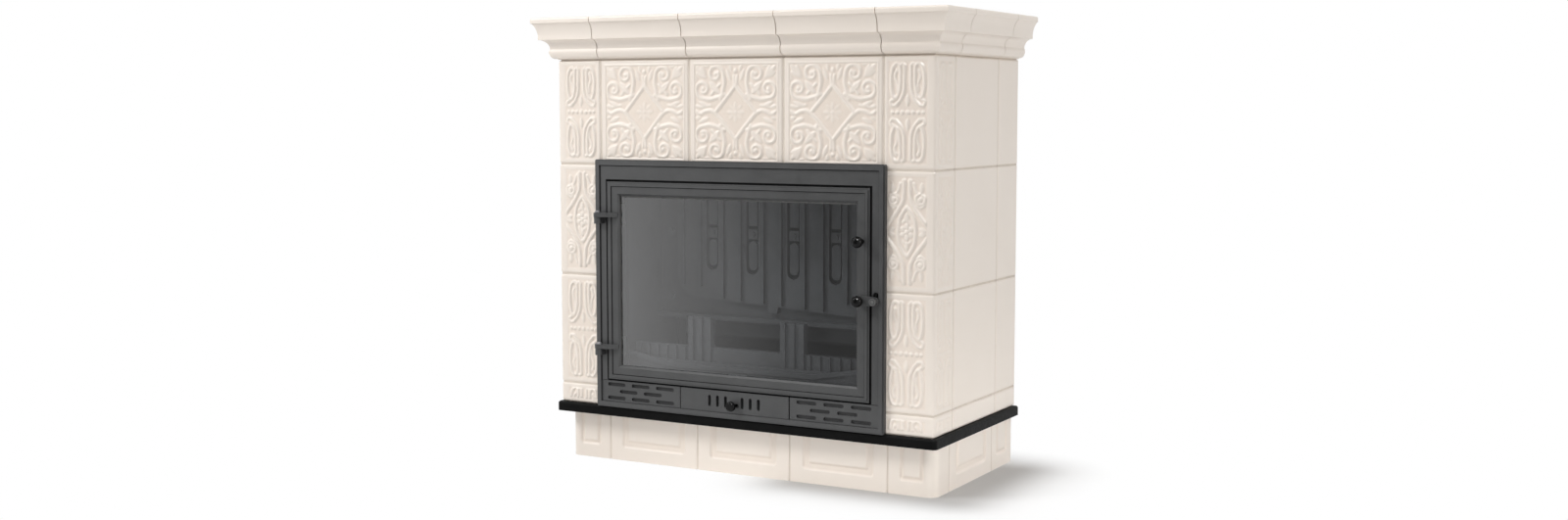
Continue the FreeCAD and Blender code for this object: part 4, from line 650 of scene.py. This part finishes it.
def field_height(across, seed):
    """Face of a square tile: its pattern in a sunk, hammered panel inside a raised border line."""
    margin = 12.0
    ground = 0.7

    def height(levels):
        u, v = np.meshgrid(across, levels, indexing="ij")
        inset = np.minimum(np.minimum(u, TILE - u), np.minimum(v, TILE - v))
        sunk = soft_step(inset, margin + 1.0, margin + 3.5)
        border = ridge(np.abs(inset - margin + 0.6), 2.1, 1.0)
        shape = field_pattern(u - TILE / 2, v - TILE / 2)
        relief = shape * soft_step(inset, margin + 1.5, margin + 5.0)
        bare = bare_ground(relief) * sunk
        rise = border - ground * sunk + relief + bare * 0.4 * grains(u, v, seed)
        hollow = np.clip(bare * 0.85 + 0.3 * sunk * np.exp(-relief), 0, 1)
        return rise + pillow(inset, EDGE), hollow

    return height


def make_field_tiles():
    """Three carved square tiles over the insert."""
    low, high = row_levels(0)
    for index, spot in enumerate(("left", "mid", "right")):
        rail, inner, across = flat_face(TILE_STARTS[index], FRONT, STEP)
        block = tile_block(rail, inner, low, high, field_height(across, seed=index + 11))
        add_tiles(f"relief_field_tile_{spot}", [block], f"field_tile_{spot}")


def tall_pattern(kind, u, v, tall):
    """Pattern of a corner tile; a cut tile shows the head of a loop tile."""
    head_inset = 16
    cut_centre = 104.0
    if kind == "cut":
        return loop_pattern(u, v - tall + cut_centre, TILE / 2 - head_inset)
    draw = lattice_pattern if kind == "lattice" else loop_pattern
    return draw(u, v - tall / 2, tall / 2 - head_inset)


def corner_height(kind, along, begin, tall, seed):
    """Face of a corner tile with one pattern on its front and a fainter one on its return."""
    drawn_half = 43.0
    end_margin = 9.0
    total = along[-1]
    front_panel = (begin + 11.0, total - 7.0, 1.3)
    return_panel = (9.0, CORNER_RETURN - 10.0, 1.0)

    def height(levels):
        u, v = np.meshgrid(along, levels, indexing="ij")
        edge = np.minimum(np.minimum(u, total - u), np.minimum(v, tall - v))
        rise = pillow(edge, EDGE)
        hollow = np.zeros(u.shape)
        for left, right, strength in (front_panel, return_panel):
            middle = (left + right) / 2
            half = (right - left) / 2
            scale = drawn_half / half
            shape = tall_pattern(kind, (u - middle) * scale, v, tall)
            inside = np.minimum(half - np.abs(u - middle), np.minimum(v, tall - v) - end_margin)
            fade = soft_step(inside, 0.0, 4.0)
            relief = strength * shape * fade
            bare = bare_ground(relief) * fade
            rise = rise + relief - 0.5 * strength * fade + 0.3 * strength * bare * grains(u, v, seed)
            hollow = np.maximum(hollow, bare * 0.6 * strength)
        return rise, hollow

    return height


def make_corner_tiles():
    """Carved corner tiles in four rows, from the top down."""
    rail, inner, along, begin = corner_face(SIDE, FRONT, CORNER_FRONT, CORNER_RETURN, ROUND)
    for hand, flip in (("left", False), ("right", True)):
        blocks = []
        for number, kind in enumerate(("loop", "lattice", "loop", "cut")):
            low, high = row_levels(number)
            height = corner_height(kind, along, begin, high - low, seed=31 + number)
            blocks.append(tile_block(rail, inner, low, high, height, flip))
        add_tiles(f"relief_corner_tiles_{hand}", blocks, f"corner_tiles_{hand}")


def sunk_panel(u, v, width, margin, groove):
    """Moulded line on a plinth tile: a hollow along both sides and the foot, open at the top."""
    corner = 9.0
    foot = 27.0
    depth = 3.2
    field_rise = 2.9
    across = np.minimum(u, width - u) - margin
    up = v - foot
    bend = corner - np.hypot(np.clip(corner - across, 0, None), np.clip(corner - up, 0, None))
    inside = np.where((across < corner) & (up < corner), bend, np.minimum(across, up))
    rise = -depth * soft_step(inside, 0, 4.5) + field_rise * soft_step(inside, groove - 5.0, groove)
    hollow = soft_step(inside, 0, 3) * (1 - soft_step(inside, groove - 3, groove + 1))
    return rise, 0.6 * hollow


def plinth_block(rail, inner, across, width, panel, whole=None, flip=False):
    """Plinth tile with its moulded line; whole is the unrolled length of a corner tile's face."""
    begin = width - (whole or width)

    def height(levels):
        u, v = np.meshgrid(across, levels, indexing="ij")
        edge = np.minimum(np.minimum(u - begin, width - u), PLINTH_TOP - v)
        rise, hollow = sunk_panel(u, v, width, *panel)
        return rise + pillow(edge, PLINTH_EDGE), hollow

    return tile_block(rail, inner, 0.0, PLINTH_TOP, height, flip, PLINTH_STEP)


def make_plinth():
    """Plinth tiles; a panel is given as its margin and the width of its groove."""
    wide_panel = (29.0, 19.0)
    narrow_panel = (24.0, 12.0)
    blocks = []
    for start in TILE_STARTS:
        rail, inner, across = flat_face(start, PLINTH_FRONT, PLINTH_STEP)
        blocks.append(plinth_block(rail, inner, across, TILE, wide_panel))
    add_tiles("moulded_plinth_front", blocks, "plinth_front")
    long_tile = (SIDE_JOINTS[1] - HALF_JOINT, TILE, wide_panel)
    short_tile = (REAR, REAR - SIDE_JOINTS[1] - HALF_JOINT, narrow_panel)
    for hand, flip in (("left", False), ("right", True)):
        rail, inner, along, begin = corner_face(PLINTH_SIDE, PLINTH_FRONT, PLINTH_CORNER_FRONT,
                                                PLINTH_CORNER_RETURN, PLINTH_ROUND)
        across = along - begin + PLINTH_ROUND
        block = plinth_block(rail, inner, across, PLINTH_CORNER_FRONT, narrow_panel, along[-1], flip)
        add_tiles(f"moulded_plinth_corner_{hand}", [block], f"plinth_corner_{hand}")
        blocks = []
        for rear, width, panel in (long_tile, short_tile):
            across = marks(width, PLINTH_STEP)
            rail = [(-PLINTH_SIDE, rear - mark, -1.0, 0.0) for mark in across]
            inner = [(-PLINTH_SIDE + THICK, rear), (-PLINTH_SIDE + THICK, rear - width)]
            blocks.append(plinth_block(rail, inner, across, width, panel, flip=flip))
        add_tiles(f"moulded_plinth_side_{hand}", blocks, f"plinth_side_{hand}")


# Thin pieces that ride on the CAD part

def add_piece(name, vertices, faces, slot, material, body="surround"):
    """Plain mesh in metres that rides on a body."""
    piece = place_mesh(name, vertices, faces, material)
    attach(piece, body)


def joint_strip(rail, low, high, depth):
    """Filled joint along a rail of (x, y, nx, ny), a little behind the tile faces."""
    thick = 4.0
    vertices = []
    for x, y, nx, ny in rail:
        for sunk in (depth, depth + thick):
            for level in (low, high):
                vertices.append(((x - nx * sunk) * MM, (y - ny * sunk) * MM, level * MM))
    faces = [(0, 1, 3, 2)]
    for i in range(0, len(vertices) - 4, 4):
        faces += [(i, i + 4, i + 5, i + 1), (i + 2, i + 3, i + 7, i + 6),
                  (i + 1, i + 5, i + 7, i + 3), (i, i + 2, i + 6, i + 4)]
    last = len(vertices) - 4
    faces.append((last, last + 2, last + 3, last + 1))
    return vertices, faces


def make_joints():
    """Joint mortar between the tiles, filled up closer to their faces than the bedding behind it."""
    half = 2.0
    end_gap = 2.0
    tile_depth = 1.9
    plinth_depth = 0.9
    arc_points = 9
    head = LEVEL_JOINTS[-1] - end_gap
    plinth_levels = (1.0, PLINTH_TOP - end_gap)
    fronts = ((FRONT, (LEVEL_JOINTS[-2] + end_gap, head), tile_depth),
              (PLINTH_FRONT, plinth_levels, plinth_depth))
    sides = ((SIDE, (LEVEL_JOINTS[0] + end_gap, head), tile_depth),
             (PLINTH_SIDE, plinth_levels, plinth_depth))
    strips = []
    for x in FRONT_JOINTS:
        for y, levels, depth in fronts:
            ends = [(x - half, y, 0.0, -1.0), (x + half, y, 0.0, -1.0)]
            strips.append(joint_strip(ends, *levels, depth))
    for hand in (-1.0, 1.0):
        for y in SIDE_JOINTS:
            for side, levels, depth in sides:
                x = hand * side
                ends = [(x, y - hand * half, hand, 0.0), (x, y + hand * half, hand, 0.0)]
                strips.append(joint_strip(ends, *levels, depth))
        rail = [(hand * SIDE, REAR - 1.0, hand, 0.0)]
        for angle in np.linspace(0, 90, arc_points):
            nx = hand * math.cos(math.radians(angle))
            ny = -math.sin(math.radians(angle))
            rail.append((hand * (SIDE - ROUND) + ROUND * nx, FRONT + ROUND + ROUND * ny, nx, ny))
        rail.append((hand * (FRONT_JOINTS[-1] + HALF_JOINT), FRONT, 0.0, -1.0))
        if hand > 0:
            rail = rail[::-1]
        for level in LEVEL_JOINTS[1:-1]:
            strips.append(joint_strip(rail, level - half, level + half, tile_depth))
    add_piece("joint_filling", *joined(strips), "grout", MATERIALS["grout"])


def add_plates(name, outlines, front, back, slot, material, body="surround"):
    """Closed plates with (x, z) outlines between two y places, in millimetres."""
    vertices = []
    faces = []
    for points in outlines:
        base = len(vertices)
        count = len(points)
        vertices += [(x * MM, y * MM, z * MM) for y in (front, back) for x, z in points]
        faces.append(tuple(base + k for k in range(count)))
        faces.append(tuple(base + count + k for k in range(count))[::-1])
        for k in range(count):
            after = (k + 1) % count
            faces.append((base + after, base + k, base + count + k, base + count + after))
    add_piece(name, vertices, faces, slot, material, body)


# Outlines, counted anticlockwise from the front

def disc(x, z, radius, sides=24, length=0.0):
    """Round outline, or a level slot with round ends when a length is given."""
    points = []
    for k in range(sides):
        angle = 2 * math.pi * k / sides
        shift = length / 2 if math.cos(angle) >= 0 else -length / 2
        points.append((x + shift + radius * math.cos(angle), z + radius * math.sin(angle)))
    return points


def pill(x, low, high, radius, sides=28):
    """Upright outline with round ends."""
    points = []
    for k in range(sides):
        angle = 2 * math.pi * (k + 0.5) / sides
        end = high - radius if math.sin(angle) > 0 else low + radius
        points.append((x + radius * math.cos(angle), end + radius * math.sin(angle)))
    return points


def box(x0, x1, z0, z1):
    """Rectangular outline."""
    return [(x0, z0), (x1, z0), (x1, z1), (x0, z1)]


def ring_bars(x, low, high, width):
    """Top, foot, left and right bars of a rectangular ring, from its outer edges."""
    return [box(-x, x, high - width, high), box(-x, x, low, low + width),
            box(-x, -x + width, low + width, high - width), box(x - width, x, low + width, high - width)]


def open_ring(x, low, high, width):
    """Top, left and right bars of a rectangular ring that is open at its foot."""
    return [box(-x, x, high - width, high), box(-x, -x + width, low, high - width),
            box(x - width, x, low, high - width)]


def make_vent_floors():
    """Darker floors of the sunk slots beside the ash front, in rows of three, two and three: painted
    shade.
    """
    centre_x = 232.5
    centre_z = 159.25
    pitch = 62.0
    row_pitch = 14.6
    slots = []
    for hand in (-1, 1):
        for row, count in ((-1, 3), (0, 2), (1, 3)):
            for step in range(count):
                x = hand * (centre_x - (step - (count - 1) / 2) * pitch)
                slots.append(disc(x, centre_z + row * row_pitch, radius=3.5, sides=26, length=38.0))
    add_plates("vent_slot_floors", slots, VENT_FLOOR - 0.3, VENT_FLOOR, "cast_iron", SLOT_SHADE_IRON)


def make_wall_bolts():
    """Bolt heads on the boiler wall beside the ribbed plate."""
    places = [(x, z) for x in (-264.0, 264.0) for z in (352.0, 497.0)]
    heads = [disc(x, z, radius=6.0, sides=6) for x, z in places]
    washers = [disc(x, z, radius=9.0) for x, z in places]
    washer_face = BOILER_WALL - 2.0
    iron = MATERIALS["lining_iron"]
    add_plates("wall_bolt_heads", heads, washer_face - 4.0, washer_face, "lining_iron", iron)
    add_plates("wall_bolt_washers", washers, washer_face, BOILER_WALL, "lining_iron", iron)


def make_slot_floors():
    """Slot floors of the ribbed plate: painted shade round a lighter field above and below the bridge.

    The feet of the slots follow the plate's slanting lower edge, to a tenth of a millimetre."""
    pitch = 101.0
    foot_middle = 407.0
    foot_slope = 14.0 / 240.0
    slot_head = 612.6
    slot_half = 14.6
    field_half = 10.5
    field_inset = 9.0
    lower_field_head = 482.0
    upper_field = (515.0, 609.0)
    painted_shade = []
    fields = []
    for number in range(4):
        x = (number - 1.5) * pitch
        foot = round(foot_middle - foot_slope * x, 1)
        painted_shade.append(pill(x, foot + 0.4, slot_head, slot_half))
        fields.append(pill(x, foot + field_inset, lower_field_head, field_half))
        fields.append(box(x - field_half, x + field_half, *upper_field))
    # Dark layer in each slot: painted shade, left as a ring round the raised fields.
    add_plates("slot_painted_shade", painted_shade, BOILER_WALL - 0.4, BOILER_WALL, "lining_iron", PLATE_SHADE_IRON)
    add_plates("slot_fields", fields, BOILER_WALL - 8.5, BOILER_WALL - 0.3, "lining_iron",
               MATERIALS["lining_iron"])


def make_dark_lines():
    """Painted shade beside the beads of the castings, on the door's edges and on the rebate's rim and
    walls.
    """
    slot = "cast_iron"
    black = EDGE_SHADE_IRON
    latch_half = 14.0
    frame_bead = open_ring(x=333.0, low=182.0, high=647.0, width=1.4)
    add_plates("frame_bead_painted_shade", frame_bead, FRAME_FACE - 0.4, FRAME_FACE + 0.1, slot, black)
    *door_bead, right = ring_bars(x=303.2, low=195.8, high=602.7, width=1.4)
    (x0, low), _, (x1, high), _ = right
    door_bead += [box(x0, x1, low, LATCH_Z - latch_half), box(x0, x1, LATCH_Z + latch_half, high)]
    add_plates("door_bead_painted_shade", door_bead, DOOR_FACE - 0.3, DOOR_FACE + 0.1, slot, black, "door")
    door_edge = ring_bars(x=313.3, low=185.7, high=612.8, width=0.5)
    add_plates("door_edge_painted_shade", door_edge, DOOR_FACE + 0.6, DOOR_FACE + 21.0, slot, black, "door")
    rim = open_ring(x=317.4, low=184.0, high=616.9, width=1.5)
    add_plates("rebate_edge_painted_shade", rim, FRAME_FACE - 0.3, FRAME_FACE + 0.2, slot, black)
    walls = ring_bars(x=316.1, low=182.9, high=615.6, width=0.4)
    add_plates("rebate_painted_shade", walls, FRAME_FACE + 0.4, FRAME_FACE + 25.0, slot, black)


def make_pane_edge():
    """Edge of the pane's rope tape under the door's upper rail, its grey strip also a painted reflection.
    """
    half_width = 281.0
    levels = (578.6, 582.4)
    tape = box(-half_width, half_width, *levels)
    add_plates("pane_tape_edge", [tape], PANE_REBATE + 0.1, PANE_REBATE + 0.9, "seal_rope", TAPE_AND_REFLECTION,
               "door")


def make_boss_cap():
    """Lighter face of the lever's boss, with a darker ring round its centre."""
    layers = (("boss_face", 7.2, 0.3, LIGHT_BOSS_IRON), ("boss_ring", 5.0, 0.5, DARK_RING_IRON),
              ("boss_centre", 3.8, 0.7, LIGHT_BOSS_IRON))
    for name, radius, proud, material in layers:
        outline = disc(BOSS_X, LATCH_Z, radius)
        add_plates(name, [outline], BOSS_FACE - proud, BOSS_FACE + 0.2, "cast_iron", material, "latch")


def make_recess_wall():
    """Boiler wall that shows in the openings under the ledge."""
    half_width = 268.0
    levels = (236.0, 305.5)
    wall = box(-half_width, half_width, *levels)
    # Painted light above and painted shade along the foot of the wall.
    painted_shade = make_wall_painted_shade()
    add_plates("recess_wall", [wall], RECESS_WALL - 1.4, RECESS_WALL - 0.4, "boiler_steel", painted_shade)


make_field_tiles()
make_corner_tiles()
make_plinth()
make_joints()
make_vent_floors()
make_wall_bolts()
make_slot_floors()
make_dark_lines()
make_pane_edge()
make_boss_cap()
make_recess_wall()


# Floor, light and camera, in metres

FLOOR_HALF = 14.0
# Box, share and fade of the painted shadow on the floor
SHADE_MIDDLE = (0.31, -0.03, 0.0)
SHADE_HALF = (0.17, 0.16, 0.0)
SHADE_SHARE = 0.8
SHADE_FADE = 0.16
WHITE_FADE = 0.22

# Each lamp's name, place, target, size, power and beam in degrees

LAMPS = (
    ("key", (-2.4, -2.4, 2.75), (0, 0, 0.5), 1.3, 82, 180.0),
    ("top", (0.3, -0.6, 4.2), (0, 0, 0.4), 3.0, 47, 180.0),
    ("fill", (3.7, 0.2, 1.3), (0.4, 0, 0.5), 2.0, 25, 180.0),
    ("low", (0.9, -3.3, 0.2), (0.1, 0, -0.35), 0.5, 0.9, 26.0),
    ("side_low", (2.4, -0.5, 0.3), (0.44, 0, -0.25), 0.5, 0.6, 34.0),
    ("upper_right", (1.5, -1.7, 2.9), (0, 0, 0.6), 0.6, 6, 180.0),
)

CAMERA_PLACE = (1.760, -3.168, 0.770)
CAMERA_DROP = 5.216
CAMERA_TURN = 29.139
CAMERA_LENS = 38.4
CAMERA_SENSOR = 36.0


def number_math(tree, operation, first, second):
    """Operation on two number sockets."""
    node = add_node(tree, "ShaderNodeMath")
    node.operation = operation
    tree.links.new(first, node.inputs[0])
    tree.links.new(second, node.inputs[1])
    return node.outputs["Value"]


def vector_math(tree, operation, vector, constant=(0.0, 0.0, 0.0), output="Vector"):
    """Operation on a vector socket and a constant vector."""
    node = add_node(tree, "ShaderNodeVectorMath", {1: constant})
    node.operation = operation
    tree.links.new(vector, node.inputs[0])
    return node.outputs[output]


def plain_ray(tree):
    """1 for camera, glossy and transmission rays, which see the studio as plain white."""
    path = add_node(tree, "ShaderNodeLightPath")
    seen = number_math(tree, "MAXIMUM", path.outputs["Is Camera Ray"], path.outputs["Is Glossy Ray"])
    return number_math(tree, "MAXIMUM", seen, path.outputs["Is Transmission Ray"])


def make_floor():
    """Pale floor with a painted shadow under the object; to plain rays it turns white further out."""
    material, tree, shader = new_material("pale_floor")
    pale = ramp(tree, noise(tree, scale=3.0), [(0.3, grey(0.90)), (0.7, grey(0.93))])
    shader.inputs["Roughness"].default_value = 0.8
    shader.inputs["Specular IOR Level"].default_value = 0.1
    place = add_node(tree, "ShaderNodeTexCoord")
    offset = vector_math(tree, "SUBTRACT", place.outputs["Object"], SHADE_MIDDLE)
    beyond = vector_math(tree, "SUBTRACT", vector_math(tree, "ABSOLUTE", offset), SHADE_HALF)
    away = vector_math(tree, "LENGTH", vector_math(tree, "MAXIMUM", beyond), output="Value")
    # Painted shadow: the floor's colour darkens in and round the shade box.
    painted_shadow = mapped(tree, away, (0.0, SHADE_FADE), (SHADE_SHARE, 0.0), smooth=True)
    tree.links.new(tint(tree, pale, painted_shadow, (0.45, 0.44, 0.43)), shader.inputs["Base Color"])
    far = mapped(tree, away, (0.0, WHITE_FADE), smooth=True)
    share = number_math(tree, "MULTIPLY", far, plain_ray(tree))
    white = add_node(tree, "ShaderNodeEmission", {"Color": (1, 1, 1, 1), "Strength": 1.0})
    set_surface(tree, mix_shaders(tree, share, shader.outputs["BSDF"], white.outputs["Emission"]))
    corners = [(x, y, 0) for x, y in box(-FLOOR_HALF, FLOOR_HALF, -FLOOR_HALF, FLOOR_HALF)]
    floor = place_mesh("floor", corners, [(0, 1, 2, 3)], material)


def make_world():
    """White to plain rays, a softer grey-white as light."""
    world = bpy.data.worlds.new("studio")
    scene.world = world
    world.use_nodes = True
    tree = world.node_tree
    tree.nodes.clear()
    add_node(tree, "ShaderNodeOutputWorld")
    soft = add_node(tree, "ShaderNodeBackground", {"Color": (1.0, 0.99, 0.98, 1), "Strength": 0.38})
    white = add_node(tree, "ShaderNodeBackground", {"Color": (1, 1, 1, 1), "Strength": 1.0})
    share = plain_ray(tree)
    set_surface(tree, mix_shaders(tree, share, soft.outputs["Background"], white.outputs["Background"]))


def gloss_panel(name, corners):
    """Bright panel that only shows in gloss; returns its node tree and its emission."""
    material, tree = bare_material(name)
    glow = add_node(tree, "ShaderNodeEmission")
    set_surface(tree, glow.outputs["Emission"])
    panel = place_mesh(name, corners, [(0, 1, 2, 3)], material)
    panel.visible_camera = False
    panel.visible_diffuse = False
    panel.visible_shadow = False
    panel.visible_transmission = False
    return tree, glow


def make_light_panel():
    """Soft panel to the front left, fading towards the middle."""
    left, right, y, low, high = -1.35, 0.9, -1.2, -0.02, 1.6
    corners = [(left, y, low), (left, y, high), (right, y, high), (right, y, low)]
    tree, glow = gloss_panel("light_panel", corners)
    fade_limits = (-1.05, -0.28)
    strengths = (1.35, 0.21)
    fade = mapped(tree, object_axis(tree, "X"), fade_limits, strengths, smooth=True)
    tree.links.new(fade, glow.inputs["Strength"])


def make_spark():
    """Small panel above the front right, for the lights on the black balls."""
    centre = np.array((1.4, -1.45, 2.9))
    half_width = 0.5
    half_height = 0.28
    along = np.array((0.74, 0.67, 0.0)) * half_width
    up = np.array((-0.56, 0.62, 0.54)) * half_height
    corners = [centre - along - up, centre + along - up, centre + along + up, centre - along + up]
    _, glow = gloss_panel("spark", [tuple(corner) for corner in corners])
    glow.inputs["Strength"].default_value = 90.0


def area_light(name, place, target, size, power, beam):
    """Round soft lamp that faces its target."""
    data = bpy.data.lights.new(name, "AREA")
    data.shape = "DISK"
    data.size = size
    data.energy = power
    data.spread = math.radians(beam)
    lamp = bpy.data.objects.new(name, data)
    scene.collection.objects.link(lamp)
    lamp.location = place
    aim = np.array(target) - np.array(place)
    tilt = math.acos(-aim[2] / np.linalg.norm(aim))
    lamp.rotation_euler = (tilt, 0, math.atan2(aim[1], aim[0]) - math.pi / 2)


def make_camera():
    """Camera at the angle of the photograph's three-quarter view."""
    data = bpy.data.cameras.new("camera")
    data.sensor_width = CAMERA_SENSOR
    data.lens = CAMERA_LENS
    data.clip_end = 60.0
    camera = bpy.data.objects.new("camera", data)
    scene.collection.objects.link(camera)
    camera.location = CAMERA_PLACE
    camera.rotation_euler = (math.radians(90 - CAMERA_DROP), 0, math.radians(CAMERA_TURN))
    scene.camera = camera


make_floor()
make_world()
make_light_panel()
make_spark()
for lamp_values in LAMPS:
    area_light(*lamp_values)
make_camera()
